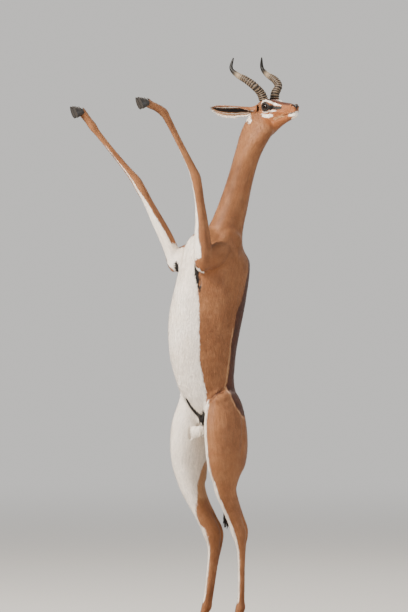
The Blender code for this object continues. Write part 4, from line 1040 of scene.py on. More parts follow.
def shape_body(thing):
    """Presses the folds and tendons into the body, and lays it inside the solids by the coat's depth."""
    points, normals = points_of(thing.data)
    moved = np.zeros_like(points)
    for path, radius, depth in BODY_DETAIL:
        moved += press(points, normals, snap(points, path), radius, depth)
    for kind, start, end, turn, radius, depth in TENDONS:
        for way in (turn,) if turn % 180 == 0 else (turn, -turn):
            for side in (1, -1):
                name = f"{kind}_{side_word(side)}"
                path = [limb_point(name, share, way) for share in np.linspace(start, end, 6)]
                moved += press(points, normals, snap(points, path), radius, depth)
    move_points(thing.data, points + moved - normals * COAT_DEPTH)


def opening_share(x, z):
    """Where a point of the eye's side lies: under one inside the lids' opening."""
    long, up, down, lean = EYE_OPENING
    rise = z - lean * x
    return np.sqrt((x / long) ** 2 + (rise / np.where(rise > 0, up, down)) ** 2)


def shape_head(thing):
    """Presses the head's forms, hollows the orbits and lays the head inside the solids."""
    points, normals = points_of(thing.data)
    moved = np.zeros_like(points)
    for path, radius, depth in HEAD_DETAIL:
        for side in (1, -1):
            spots = from_head(np.array(path) * (1, side, 1))
            if side < 0 and all(abs(p[1]) < 1e-9 for p in path):
                continue
            moved += press(points, normals, snap(points, spots), radius, depth)
    points = points + moved - normals * COAT_DEPTH
    h = to_head(points)
    for side in (1, -1):
        away = h - np.array((0, side * EYE_APART, 0))
        radius = np.linalg.norm(away, axis=1)
        out = away / radius[:, None]
        near = (away[:, 1] * side > 0.002) & (radius < ORBIT_REACH)
        share = opening_share(away[:, 0], away[:, 2])
        hollow = near & (share < 1.12)
        lifted = near & ~hollow & (radius < EYE_RADIUS + LID_LIFT)
        h[hollow] += out[hollow] * (EYE_RADIUS - ORBIT_SINK - radius[hollow])[:, None]
        h[lifted] += out[lifted] * (EYE_RADIUS + LID_LIFT - radius[lifted])[:, None]
    move_points(thing.data, from_head(h))


def largest_piece(work):
    """The points of an edited mesh's largest connected piece."""
    seen, best = set(), []
    for start in work.verts:
        if start in seen:
            continue
        group, stack = [], [start]
        seen.add(start)
        while stack:
            vertex = stack.pop()
            group.append(vertex)
            others = [o for o in (e.other_vert(vertex) for e in vertex.link_edges) if o not in seen]
            seen.update(others)
            stack += others
        if len(group) > len(best):
            best = group
    return set(best)


def one_side(thing, point, normal, keep_above):
    """Cuts a closed skin at a plane and keeps one side of it, open at the cut."""
    work = bmesh.new()
    work.from_mesh(thing.data)
    near = [v for v in work.verts if v.co.y > JOIN_BEHIND]
    geometry = list({e for v in near for e in (v, *v.link_edges, *v.link_faces)})
    bmesh.ops.bisect_plane(work, geom=geometry, plane_co=point, plane_no=normal)
    sign = 1 if keep_above else -1
    near = [v for v in work.verts if v.co.y > JOIN_BEHIND]
    away = [v for v in near if sign * ((np.array(v.co) - point) @ normal) < -1e-6]
    bmesh.ops.delete(work, geom=away, context="VERTS")
    keep = largest_piece(work)
    bmesh.ops.delete(work, geom=[v for v in work.verts if v not in keep], context="VERTS")
    return mesh_of(work, thing.name)


def join_skins(head, body):
    """The head's fine skin and the body's as one closed surface, smooth where they meet."""
    point, normal = np.array(JOIN_AT[0]), unit(np.array(JOIN_AT[1]))
    upper = one_side(head, point + normal * JOIN_GAP, normal, True)
    lower = one_side(body, point - normal * JOIN_GAP, normal, False)
    work = bmesh.new()
    work.from_mesh(upper)
    work.from_mesh(lower)
    rims = [e for e in work.edges if e.is_boundary]
    bmesh.ops.bridge_loops(work, edges=rims)
    bmesh.ops.triangulate(work, faces=work.faces[:])
    band = [v for v in work.verts if abs((np.array(v.co) - point) @ normal) < JOIN_BAND
            and abs(v.co.x - point[0]) < JOIN_REACH and abs(v.co.y - point[1]) < JOIN_REACH]
    for _ in range(JOIN_ROUNDS):
        bmesh.ops.smooth_vert(work, verts=band, factor=0.5, use_axis_x=True, use_axis_y=True, use_axis_z=True)
    bmesh.ops.recalc_face_normals(work, faces=work.faces[:])
    return mesh_of(work, "skin")


def triangles_of(mesh):
    """A triangulated mesh's corners as rows of three."""
    mesh.calc_loop_triangles()
    made = np.empty(len(mesh.loop_triangles) * 3, int)
    mesh.loop_triangles.foreach_get("vertices", made)
    return made.reshape(-1, 3)


def mesh_from(name, points, faces, attributes=None, normals=None, uv=None):
    """A smooth triangle mesh from arrays, with float attributes and vectors on its points."""
    mesh = bpy.data.meshes.new(name)
    mesh.vertices.add(len(points))
    mesh.vertices.foreach_set("co", np.ascontiguousarray(points, float).ravel())
    mesh.loops.add(len(faces) * 3)
    mesh.loops.foreach_set("vertex_index", np.ascontiguousarray(faces, np.int32).ravel())
    mesh.polygons.add(len(faces))
    mesh.polygons.foreach_set("loop_start", np.arange(0, len(faces) * 3, 3, dtype=np.int32))
    mesh.update(calc_edges=True)
    mesh.validate()
    for key, values in (attributes or {}).items():
        values = np.ascontiguousarray(values, float)
        kind, field = ("FLOAT_VECTOR", "vector") if values.ndim == 2 else ("FLOAT", "value")
        layer = mesh.attributes.new(key, kind, "POINT")
        layer.data.foreach_set(field, values.ravel())
    if uv is not None:
        layer = mesh.uv_layers.new(name="OFBake")
        layer.data.foreach_set("uv", np.ascontiguousarray(uv[faces.ravel()], float).ravel())
    mesh.shade_smooth()
    if normals is not None:
        mesh.normals_split_custom_set_from_vertices([tuple(n) for n in normals])
    return mesh


def ear_shape(side):
    """Points of an ear in rows from root to tip, outer side then inner, and their own coordinates."""
    ahead = np.array((HEAD_AXES @ Vector((-EAR_BACK, side * EAR_OUT, EAR_RISE))).normalized())
    mouth = np.array((HEAD_AXES @ Vector((EAR_OUT, side * EAR_BACK, -EAR_DROOP))).normalized())
    mouth = unit(mouth - ahead * (mouth @ ahead))
    across = np.cross(ahead, mouth) * side
    root = from_head([(EAR_ROOT[0], side * EAR_ROOT[1], EAR_ROOT[2])])[0]
    points, grid = [], []
    for t in np.linspace(0, 1, EAR_ROWS):
        half = EAR_WIDE / 2 * float(np.interp(t, *EAR_HALF))
        wrap = math.radians(float(np.interp(t, *EAR_WRAP)))
        radius = half / math.sin(min(wrap, math.pi / 2))
        thick = EAR_THICK[0] - (EAR_THICK[0] - EAR_THICK[1]) * t
        centre = root + ahead * (EAR_LONG * t) + mouth * (radius - 0.008 * math.sin(math.pi * t))
        bow = across * (EAR_BOW * math.sin(math.pi * t))
        flare = 0.010 * max(0.0, 1 - t / 0.16) ** 2
        angles = np.linspace(-wrap, wrap, EAR_COLUMNS)
        for outer in (True, False):
            for a in angles if outer else angles[::-1]:
                rim = 1 - 0.6 * (abs(a) / wrap) ** 3
                fold = 0.0012 * math.sin(4 * math.pi * a / wrap) * math.sin(math.pi * t) * (not outer)
                r = radius + flare - 0.0006 if outer else radius - thick * rim + fold
                points.append(centre + bow - mouth * (r * math.cos(a)) + across * (r * math.sin(a)))
                grid.append((t, a / wrap, float(outer)))
    return np.array(points), np.array(grid), ahead


def ear_mesh(side):
    """An ear's arrays: points, triangles, normals, its own coordinates and the way its hair lies."""
    points, grid, ahead = ear_shape(side)
    count = EAR_COLUMNS * 2
    last = (EAR_ROWS - 1) * count
    faces = []
    for low in range(0, last, count):
        for j in range(count):
            nxt = (j + 1) % count
            faces.append((low + j, low + nxt, low + count + nxt))
            faces.append((low + j, low + count + nxt, low + count + j))
    for base, turn in ((0, -1), (last, 1)):
        for j in range(EAR_COLUMNS - 1):
            a, b, c, d = base + j, base + j + 1, base + count - 2 - j, base + count - 1 - j
            faces += [(a, b, c)[::turn], (a, c, d)[::turn]]
    mesh = outward(mesh_from("ear", points, np.array(faces)))
    points, normals = points_of(mesh)
    faces = triangles_of(mesh)
    bpy.data.meshes.remove(mesh)
    return points, faces, normals, grid, np.tile(ahead, (len(points), 1))


def ear_marks(grid):
    """An ear's markings: tan behind and along the upper side of its cup, dark down its middle, with cream
    streaks and a white lower edge."""
    t, a, outer = grid.T
    behind = outer > 0.5
    rim = (np.abs(a) - 0.93) * 5 + np.where(a > 0, 0.35, -0.1)
    streaks = 0.50 - np.abs(a + 0.22 - 0.40 * (t - 0.5)) * 8
    low_streak = 0.25 - np.abs(a - 0.62) * 7
    inside_cup = np.clip((t - 0.06) * 8, 0, 1) * np.clip((0.95 - t) * 10, 0, 1)
    white = np.maximum(rim, np.maximum(streaks, low_streak) * inside_cup - 0.3 * (1 - inside_cup))
    white = np.where(behind, rim - 0.5, white)
    middle = np.minimum((0.27 - np.abs(a - 0.20)) * 4, (t - 0.13) * 6)
    black = np.where(behind, (t - 0.93) * 6, np.where(white > 0, -0.6, middle))
    dark = np.where(behind, (t - 0.80) * 2 - 0.2, -1.0)
    return {
        "white": np.clip(white, -3, 3),
        "dark": dark,
        "pale": np.where(behind, -2.0, (a - 0.45) * 3),
        "black": np.clip(black, -3, 3),
        "warm": np.full(len(t), 0.6),
    }


def ear_place(side, grid):
    """Where an ear's spots lie on the unwrapped coat, before its rows are set apart."""
    return np.column_stack([0.82 + 0.08 * (side < 0) + 0.03 * (grid[:, 1] + 1), grid[:, 0]])


def build_skin():
    """The whole skin's arrays with its markings, how many of its points aren't the ears', and the ears."""
    body = fuse("body", body_flesh(), BODY_VOXEL, CREASES + head_creases(), BODY_SMOOTHING)
    shape_body(body)
    thin(body, BODY_TRIANGLES)
    head = fuse("head", head_flesh(), HEAD_VOXEL, head_creases(), HEAD_SMOOTHING)
    shape_head(head)
    points, _ = points_of(head.data)
    h = to_head(points)
    eye_away = np.linalg.norm(h * (1, 0, 1), axis=1)
    keep = 0.35 + 0.65 * np.clip((0.045 - eye_away) / 0.02, 0, 1)
    keep = np.maximum(keep, np.clip((h[:, 0] - 0.045) / 0.03, 0, 1) * 0.9)
    thin(head, HEAD_TRIANGLES, np.where(points[:, 2] < 1.95, 0.12, keep))
    mesh = join_skins(head, body)
    bpy.data.objects.remove(head)
    bpy.data.objects.remove(body)
    points, normals = points_of(mesh)
    where = locate(points)
    parts = [{"points": points, "normals": normals, "faces": triangles_of(mesh), "streak": where["streak"],
              "place": where["place"], **marks(points, where)}]
    total = len(points)
    ears = []
    for side in (1, -1):
        p, f, n, grid, lie = ear_mesh(side)
        ears.append((p, f, n, grid, lie))
        streak = np.column_stack([grid[:, 1] * 0.03, grid[:, 2] * 0.01, grid[:, 0] * 0.02 + side])
        parts.append({"points": p, "normals": n, "faces": f + total, "streak": streak,
                      "place": ear_place(side, grid), **ear_marks(grid)})
        total += len(p)
    return {key: np.concatenate([part[key] for part in parts]) for key in parts[0]}, len(points), ears


def pick_faces(points, faces, density, count):
    """The corners of random faces, chosen more where they are large and their points' density is high."""
    a, b, c = points[faces[:, 0]], points[faces[:, 1]], points[faces[:, 2]]
    area = np.linalg.norm(np.cross(b - a, c - a), axis=1) / 2 * density[faces].mean(axis=1)
    chosen = np.searchsorted(np.cumsum(area) / area.sum(), RANDOM.random(count))
    return faces[np.minimum(chosen, len(faces) - 1)]


def blend(shares, values, corners):
    """Values of points, blended by each spot's shares of its face's corners."""
    return np.einsum("ij,ijk->ik", shares, values[corners])


def scatter(points, faces, normals, count, density):
    """Random spots on a surface and their normals, more where the density of its points is higher."""
    corners = pick_faces(points, faces, density, count)
    u, v = RANDOM.random(count), RANDOM.random(count)
    flip = u + v > 1
    u, v = np.where(flip, 1 - u, u), np.where(flip, 1 - v, v)
    shares = np.stack([1 - u - v, u, v], axis=1)
    return blend(shares, points, corners), unit(blend(shares, normals, corners))


# A tuft's points are its root's two corners, its middle's two and its tip: its triangles, and its small
# patch on the unwrapped coat
TUFT_FACES = ((0, 3, 1), (0, 2, 3), (2, 4, 3))
TUFT_PATCH = ((-0.0013, -0.0014), (0.0013, -0.0014), (-0.0011, 0.0002), (0.0011, 0.0002), (0.0, 0.0014))


def blades(roots, normals, flow, long, wide, lift, marks_at, place, streak):
    """Thin flat tufts as arrays: each leaves its root at a low lift, bends along the coat and tapers."""
    count = len(roots)
    flow = square_to(normals, flow)
    flow = unit(flow + np.cross(normals, flow) * RANDOM.normal(0, 0.16, count)[:, None])
    across = np.cross(normals, flow)
    long, wide, lift = (np.broadcast_to(v, count)[:, None] for v in (long, wide, lift))
    start = roots - normals * 0.0006
    middle = roots + flow * long * 0.5 + normals * (long * 0.5 * lift + 0.0002)
    sway = across * RANDOM.normal(0, 0.05, count)[:, None] * long
    tip = roots + flow * long * 0.98 + normals * (long * lift * 0.75 + 0.0001) + sway
    corners = np.stack(
        [start - across * wide / 2, start + across * wide / 2, middle - across * wide * 0.42 + sway * 0.3,
         middle + across * wide * 0.42 + sway * 0.3, tip],
        axis=1,
    )
    base = (np.arange(count) * 5)[:, None]
    faces = np.concatenate([base + np.array(f) for f in TUFT_FACES], axis=1).reshape(-1, 3)
    sideways, forwards = RANDOM.normal(0, 0.10, count), RANDOM.normal(0.05, 0.08, count)
    tilted = unit(normals + across * sideways[:, None] + flow * forwards[:, None])
    shade = RANDOM.normal(0, 1, count)
    attributes = {}
    for name in MARKS:
        strayed = 0 if name == "warm" else RANDOM.normal(0, 0.10, count)
        attributes[name] = np.repeat(marks_at[name] + strayed, 5)
    attributes["shade"] = np.repeat(shade, 5)
    attributes["tip"] = np.tile((0.0, 0.0, 0.6, 0.6, 1.0), count)
    attributes["streak"] = np.repeat(streak, 5, axis=0)
    uv = (place[:, None, :] + np.array(TUFT_PATCH)[None, :, :]).reshape(-1, 2)
    return corners.reshape(-1, 3), faces, np.repeat(tilted, 5, axis=0), attributes, np.clip(uv, 0, 1)


def blades_mesh(name, parts):
    """Sets of tufts as one mesh."""
    starts = np.cumsum([0] + [len(part[0]) for part in parts])
    points, normals, uv = (np.concatenate([part[k] for part in parts]) for k in (0, 2, 4))
    faces = np.concatenate([part[1] + start for part, start in zip(parts, starts)])
    attributes = {key: np.concatenate([part[3][key] for part in parts]) for key in parts[0][3]}
    return mesh_from(name, points, faces, attributes, normals, uv)


def body_tufts(skin, body_count, count):
    """Roots over the body and head, with no tuft on the nose's pad, in the lids or round the horns' roots."""
    points = skin["points"]
    h = to_head(points)
    on_head = (np.abs(h[:, 0]) < 0.14) & (np.abs(h[:, 1]) < 0.06)
    on_head = np.clip((points[:, 2] - 1.97) / 0.03, 0, 1) * on_head
    legs = (points[:, 2] < 0.42) | ((points[:, 2] > 1.78) & (points[:, 1] < -0.16))
    density = np.ones(len(points)) + 2.2 * on_head + 0.5 * legs
    for side in (1, -1):
        in_lids = (h[:, 1] * side > 0.02) & (opening_share(h[:, 0], h[:, 2]) < 1.42)
        horn_away = np.linalg.norm(h - np.array((-0.019, side * 0.033, 0.036)), axis=1)
        density *= ~(in_lids | (horn_away < 0.021))
    density *= ~((h[:, 0] > 0.1255) & (h[:, 2] > -0.038) & (h[:, 2] < 0.0))
    faces = skin["faces"][skin["faces"].max(axis=1) < body_count]
    roots, normals = scatter(points, faces, skin["normals"], count, density)
    return roots, normals, locate(roots)


def nodes_of(name):
    """A new material, its node tree and its shader."""
    made = bpy.data.materials.new(name)
    made.use_nodes = True
    return made, made.node_tree, made.node_tree.nodes["Principled BSDF"]


def add(tree, kind, values=None, **settings):
    """A node with its settings and some of its sockets set or linked."""
    made = tree.nodes.new(kind)
    for key, value in settings.items():
        setattr(made, key, value)
    for key, value in (values or {}).items():
        if isinstance(value, bpy.types.NodeSocket):
            tree.links.new(value, made.inputs[key])
        else:
            made.inputs[key].default_value = value
    return made


def attribute(tree, name, vector=False):
    node = add(tree, "ShaderNodeAttribute", attribute_name=name)
    return node.outputs["Vector" if vector else "Fac"]


def maths(tree, operation, a, b):
    return add(tree, "ShaderNodeMath", {0: a, 1: b}, operation=operation).outputs[0]


def times(tree, a, b):
    return maths(tree, "MULTIPLY", a, b)


def plus(tree, a, b):
    return maths(tree, "ADD", a, b)


def centred(tree, value, size):
    """A noise about nought, of a given size."""
    return times(tree, maths(tree, "SUBTRACT", value, 0.5), size)


def own_place(tree):
    return add(tree, "ShaderNodeTexCoord").outputs["Object"]


def finish_look(tree, shader, colour, settings, relief=None):
    """Sets a shader's colour and other sockets. relief is a height, its strength and its distance."""
    tree.links.new(colour, shader.inputs["Base Color"])
    for key, value in settings.items():
        shader.inputs[key].default_value = value
    if relief:
        height, strength, distance = relief
        bump = add(tree, "ShaderNodeBump", {"Height": height, "Strength": strength, "Distance": distance})
        tree.links.new(bump.outputs["Normal"], shader.inputs["Normal"])


def noise(tree, vector, scale, detail=2.0, roughness=0.5):
    values = {"Vector": vector, "Scale": scale, "Detail": detail, "Roughness": roughness}
    return add(tree, "ShaderNodeTexNoise", values).outputs["Fac"]


def ramp(tree, value, low, high, to_low=0.0, to_high=1.0):
    """A smooth step of a value between two levels."""
    node = add(
        tree, "ShaderNodeMapRange",
        {"Value": value, "From Min": low, "From Max": high, "To Min": to_low, "To Max": to_high},
        interpolation_type="SMOOTHSTEP",
    )
    return node.outputs["Result"]


def mix(tree, share, a, b):
    node = add(tree, "ShaderNodeMix", data_type="RGBA")
    for socket, value in ((0, share), (6, a), (7, b)):
        if isinstance(value, bpy.types.NodeSocket):
            tree.links.new(value, node.inputs[socket])
        else:
            node.inputs[socket].default_value = value
    return node.outputs[2]


def coat_material(name, hair):
    """The coat's colours from the markings, with streaks along the lie of the hair."""
    made, tree, shader = nodes_of(name)
    streak = attribute(tree, "streak", vector=True)
    place = own_place(tree)
    fine = noise(tree, streak, 620.0, 2.0, 0.6)
    coarse = noise(tree, streak, 150.0, 2.0, 0.5)
    broad = noise(tree, place, 9.0, 3.0, 0.5)
    patchy = noise(tree, place, 30.0, 2.0, 0.5)
    ragged = plus(tree, centred(tree, coarse, 0.64), centred(tree, fine, 0.40))
    colour = mix(tree, ramp(tree, broad, 0.35, 0.65), TAN_DEEP, TAN)
    colour = mix(tree, times(tree, ramp(tree, patchy, 0.4, 0.7), 0.35), colour, TAN_LIGHT)
    # deeper orange: the head's and ears' own tone, and painted shade behind the near elbow
    colour = mix(tree, times(tree, attribute(tree, "warm"), 0.75), colour, ORANGE)
    dark = mix(tree, ramp(tree, patchy, 0.3, 0.7), CHESTNUT, CHESTNUT_DARK)
    white = mix(tree, ramp(tree, broad, 0.3, 0.7), WHITE, CREAM)
    for key, tone, soft in (("dark", dark, 0.30), ("pale", PALE_TAN, 0.25), ("white", white, 0.22),
                            ("black", BLACK, 0.14)):
        value = plus(tree, attribute(tree, key), ragged)
        colour = mix(tree, ramp(tree, value, -soft, soft), colour, tone)
    if hair:
        shade = plus(tree, times(tree, attribute(tree, "shade"), 0.07), 1.0)
        # painted shade deep in the coat: each tuft darker at its root and lighter at its tip
        shaded_roots = plus(tree, times(tree, attribute(tree, "tip"), 0.16), 0.92)
        tone = times(tree, ramp(tree, coarse, 0.25, 0.75, 0.90, 1.10), times(tree, shade, shaded_roots))
        relief = None
    else:
        tone = ramp(tree, fine, 0.25, 0.75, 0.80, 1.08)
        tone = times(tree, tone, ramp(tree, coarse, 0.25, 0.75, 0.88, 1.08))
        relief = plus(tree, times(tree, fine, 0.5), coarse), 0.55, 0.0012
    colour = add(tree, "ShaderNodeVectorMath", {0: colour, "Scale": tone}, operation="SCALE").outputs[0]
    finish_look(tree, shader, colour, {"Roughness": 0.58, "Specular IOR Level": 0.28, "Sheen Weight": 0.12,
                                       "Sheen Roughness": 0.45}, relief)
    return made


def horn_material():
    """Grey-brown horn, paler on its rings' crests, black and smooth to the tip, with a painted highlight
    where the light catches its bend.
    """
    made, tree, shader = nodes_of("horn_skin")
    grain = noise(tree, attribute(tree, "streak", vector=True), 260.0, 3.0, 0.6)
    patchy = noise(tree, own_place(tree), 60.0, 3.0, 0.6)
    crest = plus(tree, attribute(tree, "crest"), centred(tree, patchy, 0.9))
    colour = mix(tree, ramp(tree, crest, 0.1, 0.9), HORN_GROOVE, HORN_CREST)
    colour = mix(tree, times(tree, ramp(tree, grain, 0.50, 0.80), 0.25), colour, HORN_PALE)
    # painted highlight: a pale band where the light catches the horn's bend
    colour = mix(tree, attribute(tree, "bend"), colour, HORN_PALE)
    colour = mix(tree, attribute(tree, "black"), colour, HORN_TIP)
    finish_look(tree, shader, colour, {"Roughness": 0.45, "Specular IOR Level": 0.22}, (grain, 0.45, 0.0007))
    return made


def hoof_material():
    """Dark, finely ringed horn with a little dust."""
    made, tree, shader = nodes_of("hoof_skin")
    rings = noise(tree, attribute(tree, "streak", vector=True), 330.0, 2.0, 0.5)
    patchy = noise(tree, own_place(tree), 90.0, 3.0, 0.6)
    colour = mix(tree, ramp(tree, rings, 0.3, 0.7), HOOF_DARK, HOOF_PALE)
    colour = mix(tree, times(tree, ramp(tree, patchy, 0.5, 0.8), 0.35), colour, HOOF_DUST)
    finish_look(tree, shader, colour, {"Roughness": 0.38}, (rings, 0.4, 0.0006))
    return made


def tail_material():
    """Black hair with a brown sheen."""
    made, tree, shader = nodes_of("tail_hair_skin")
    strand = noise(tree, attribute(tree, "streak", vector=True), 900.0, 2.0, 0.6)
    colour = mix(tree, ramp(tree, strand, 0.3, 0.75), TAIL_BLACK, TAIL_BROWN)
    finish_look(tree, shader, colour, {"Roughness": 0.55, "Specular IOR Level": 0.15}, (strand, 0.5, 0.0008))
    return made


def eye_material():
    """A wet, very dark brown eye with a wide black pupil."""
    made, tree, shader = nodes_of("eye_skin")
    ring = attribute(tree, "iris")
    spokes = noise(tree, attribute(tree, "streak", vector=True), 30.0, 2.0, 0.5)
    iris = mix(tree, ramp(tree, spokes, 0.3, 0.7), EYE_BROWN, EYE_DEEP)
    colour = mix(tree, ramp(tree, ring, 0.30, 0.42), EYE_PUPIL, iris)
    colour = mix(tree, ramp(tree, ring, 0.72, 0.88), colour, EYE_RIM)
    finish_look(tree, shader, colour, {"Roughness": 0.06, "Specular IOR Level": 0.14, "Coat Weight": 0.10,
                                       "Coat Roughness": 0.02})
    return made


def base_material():
    """Oiled wood for the display base."""
    made, tree, shader = nodes_of("base_skin")
    along_grain = {"Vector": own_place(tree), "Scale": (2.2, 30.0, 30.0)}
    stretched = add(tree, "ShaderNodeMapping", along_grain).outputs[0]
    grain = noise(tree, stretched, 2.4, 5.0, 0.62)
    fine = noise(tree, stretched, 16.0, 3.0, 0.6)
    colour = mix(tree, ramp(tree, grain, 0.32, 0.68), WOOD_DARK, WOOD_PALE)
    colour = mix(tree, times(tree, ramp(tree, fine, 0.45, 0.75), 0.35), colour, WOOD_DARK)
    finish_look(tree, shader, colour, {"Roughness": 0.42}, (grain, 0.12, 0.001))
    return made


def floor_material():
    """Pale floor that melts into the backdrop's tone far out."""
    made, tree, shader = nodes_of("floor")
    length = add(tree, "ShaderNodeVectorMath", {0: own_place(tree)}, operation="LENGTH").outputs["Value"]
    shader.inputs["Base Color"].default_value = (*FLOOR_TONE, 1)
    shader.inputs["Roughness"].default_value = 0.9
    shader.inputs["Specular IOR Level"].default_value = 0.1
    glow = add(tree, "ShaderNodeEmission", {"Color": (*BACKDROP, 1), "Strength": WORLD_LIGHT})
    both = add(tree, "ShaderNodeMixShader", {0: ramp(tree, length, 3.0, 12.0), 1: shader.outputs[0],
                                             2: glow.outputs[0]})
    tree.links.new(both.outputs[0], tree.nodes["Material Output"].inputs["Surface"])
    return made


def grid_faces(rows, count):
    """Triangles between closed rows that each hold as many points."""
    k = np.arange(rows - 1)[:, None]
    j = np.arange(count)[None, :]
    nxt = (j + 1) % count
    low, high = k * count, (k + 1) * count
    one = np.stack([low + j, low + nxt, high + nxt], axis=-1).reshape(-1, 3)
    two = np.stack([low + j, high + nxt, high + j], axis=-1).reshape(-1, 3)
    return np.concatenate([one, two])


def cap_faces(start, count, flip):
    """A fan over one row's points."""
    fan = [(start, start + j, start + j + 1) for j in range(1, count - 1)]
    return np.array([tuple(reversed(f)) for f in fan] if flip else fan)


def tube_faces(start, rows, count):
    """The triangles of a closed tube whose points begin at start, with its two caps."""
    last = start + (rows - 1) * count
    return [grid_faces(rows, count) + start, cap_faces(start, count, True), cap_faces(last, count, False)]


def horn_mesh(side):
    """A ringed horn: uneven rings that are boldest in front and thin out towards the smooth, hooked tip."""
    path = catmull([(x, side * y, z) for x, y, z in HORN_PATH], 12)
    lengths = arc_of(path)
    steps = np.linspace(0, 1, HORN_STEPS)
    spots = np.stack([np.interp(steps, lengths / lengths[-1], path[:, k]) for k in range(3)], axis=1)
    kernel = np.ones(9) / 9
    for k in range(3):
        padded = np.concatenate([[spots[0, k]] * 4, spots[:, k], [spots[-1, k]] * 4])
        spots[:, k] = np.convolve(padded, kernel, "valid")
    along = unit(np.gradient(spots, axis=0))
    out = square_to(along, np.tile((0.0, side, 0.0), (HORN_STEPS, 1)))
    fore = np.cross(out, along) * side
    angle = math.tau * np.arange(HORN_SIDES) / HORN_SIDES
    c, s = np.cos(angle), np.sin(angle)
    ring = steps / HORN_RINGED * HORN_RINGS
    ring = ring + 0.10 * np.sin(ring * 1.7 + side)
    fade = np.clip((HORN_RINGED - steps) / 0.12, 0, 1) * np.clip(steps / 0.01 + 0.2, 0, 1)
    taper = (1 - steps) ** 0.62 * 0.93 + 0.07
    lean = 0.35 * np.cos(angle + 0.4)
    points, crest, streak = [], [], []
    for k, t in enumerate(steps):
        here = np.clip(1 - np.abs(((ring[k] + lean * 0.3) % 1.0) - 0.45) / 0.36, 0, 1) ** 0.7
        relief = (here - 0.45) * 0.20 * (1 - 0.45 * t) * fade[k] * (0.62 + 0.38 * c)
        flute = 0.010 * np.sin(angle * 9 + 2 * math.sin(6 * t)) * (1 - fade[k]) * (1 - t)
        size = HORN_WIDE * taper[k] * (1 + relief + flute)
        spot = spots[k] + fore[k] * (c * size)[:, None] + out[k] * (s * size * 0.80)[:, None]
        points.append(from_head(spot))
        crest.append(here * fade[k])
        streak.append(np.stack([c * 0.02, s * 0.02, np.full(HORN_SIDES, t * 0.03)], axis=1))
    return outward(mesh_from(
        f"horn_{side_word(side)}_skin", np.concatenate(points),
        np.concatenate(tube_faces(0, HORN_STEPS, HORN_SIDES)),
        {"black": np.repeat(np.clip((steps - 0.68) / 0.10, 0, 1), HORN_SIDES),
         # painted highlight on the horn's bend
         "bend": np.repeat(0.75 * np.exp(-(((steps - 0.62) / 0.065) ** 2)), HORN_SIDES),
         "crest": np.concatenate(crest), "streak": np.concatenate(streak)},
    ))


def eye_mesh(side):
    """The eyeball, its clear front a little domed, with the distance from its pupil on its points."""
    segments, rings = 64, 40
    c, s = circle(segments)
    points, iris, streak = [], [], []
    for a in np.linspace(0, math.pi, rings):
        out, across = math.cos(a), math.sin(a)
        dome = 1 + 0.035 * max(0.0, out - 0.60) / 0.40
        x, z = across * c, across * s
        h = np.stack([x, np.full(segments, out * side), z], axis=1) * EYE_RADIUS * dome
        points.append(from_head(h + np.array((0, side * EYE_APART, 0))))
        iris.append(np.sqrt(x**2 + (z / 0.72) ** 2) * 1.15)
        streak.append(np.stack([c, s, np.full(segments, a * 0.3)], axis=1))
    return outward(mesh_from(
        f"eye_{side_word(side)}_skin", np.concatenate(points), grid_faces(rings, segments),
        {"iris": np.concatenate(iris), "streak": np.concatenate(streak)},
    ))


def lid_arrays(side):
    """The lids: a rim round the opening that rolls over its edge and sinks into the skin, and its marks."""
    c, s = circle(LID_STEPS)
    long, up, down, lean = EYE_OPENING
    # the front corner is drawn out
    x = long * c * (1 + 0.10 * np.clip(c, 0, 1) ** 4)
    z = np.where(s > 0, up, down) * power(s, 1.1) + lean * x
    level = 0 * x
    edge = np.stack([x, side * np.sqrt(np.maximum(EYE_RADIUS**2 - x**2 - z**2, 1e-6)), z], axis=1)
    direction = unit(edge)
    outwards = square_to(direction, unit(np.stack([x, level, z], axis=1)))
    # the lids thicken towards the middle of the upper one
    swell = 1 + 0.25 * np.clip(s, 0, 1)
    rows = [direction * (EYE_RADIUS + height * swell)[:, None] + outwards * by for by, height in LID_PROFILE]
    total = len(rows) * LID_STEPS
    faces = grid_faces(len(rows), LID_STEPS)
    return {
        "points": from_head(np.concatenate(rows) + np.array((0.0, side * EYE_APART, 0.0))),
        "faces": faces if side > 0 else faces[:, ::-1],
        "white": np.full(total, 0.6),
        "black": np.repeat([0.5 if by < 0.0065 else 0.1 for by, _ in LID_PROFILE], LID_STEPS),
        "dark": np.full(total, -2.0),
        "pale": np.full(total, -2.0),
        "warm": np.zeros(total),
    }


def lashes(side):
    """Roots, directions and facings of the upper lid's lashes."""
    angle = np.linspace(0.20, 0.86, LASHES) * math.pi
    long, up, _, lean = EYE_OPENING
    x = long * np.cos(angle)
    z = up * np.sin(angle) ** 1.1 + lean * x
    y = np.sqrt(np.maximum(EYE_RADIUS**2 - x**2 - z**2, 1e-6))
    direction = unit(np.stack([x, side * y, z], axis=1))
    root = direction * (EYE_RADIUS + LID_LIFT) + np.array((0, side * EYE_APART, 0))
    fan = np.stack([x * 14, 0 * x, 0 * x], axis=1)
    lie = unit(direction * 0.75 + np.array((0.10, side * 0.35, -0.05)) + fan)
    return from_head(root), lie @ HEAD_TURNED.T, direction @ HEAD_TURNED.T


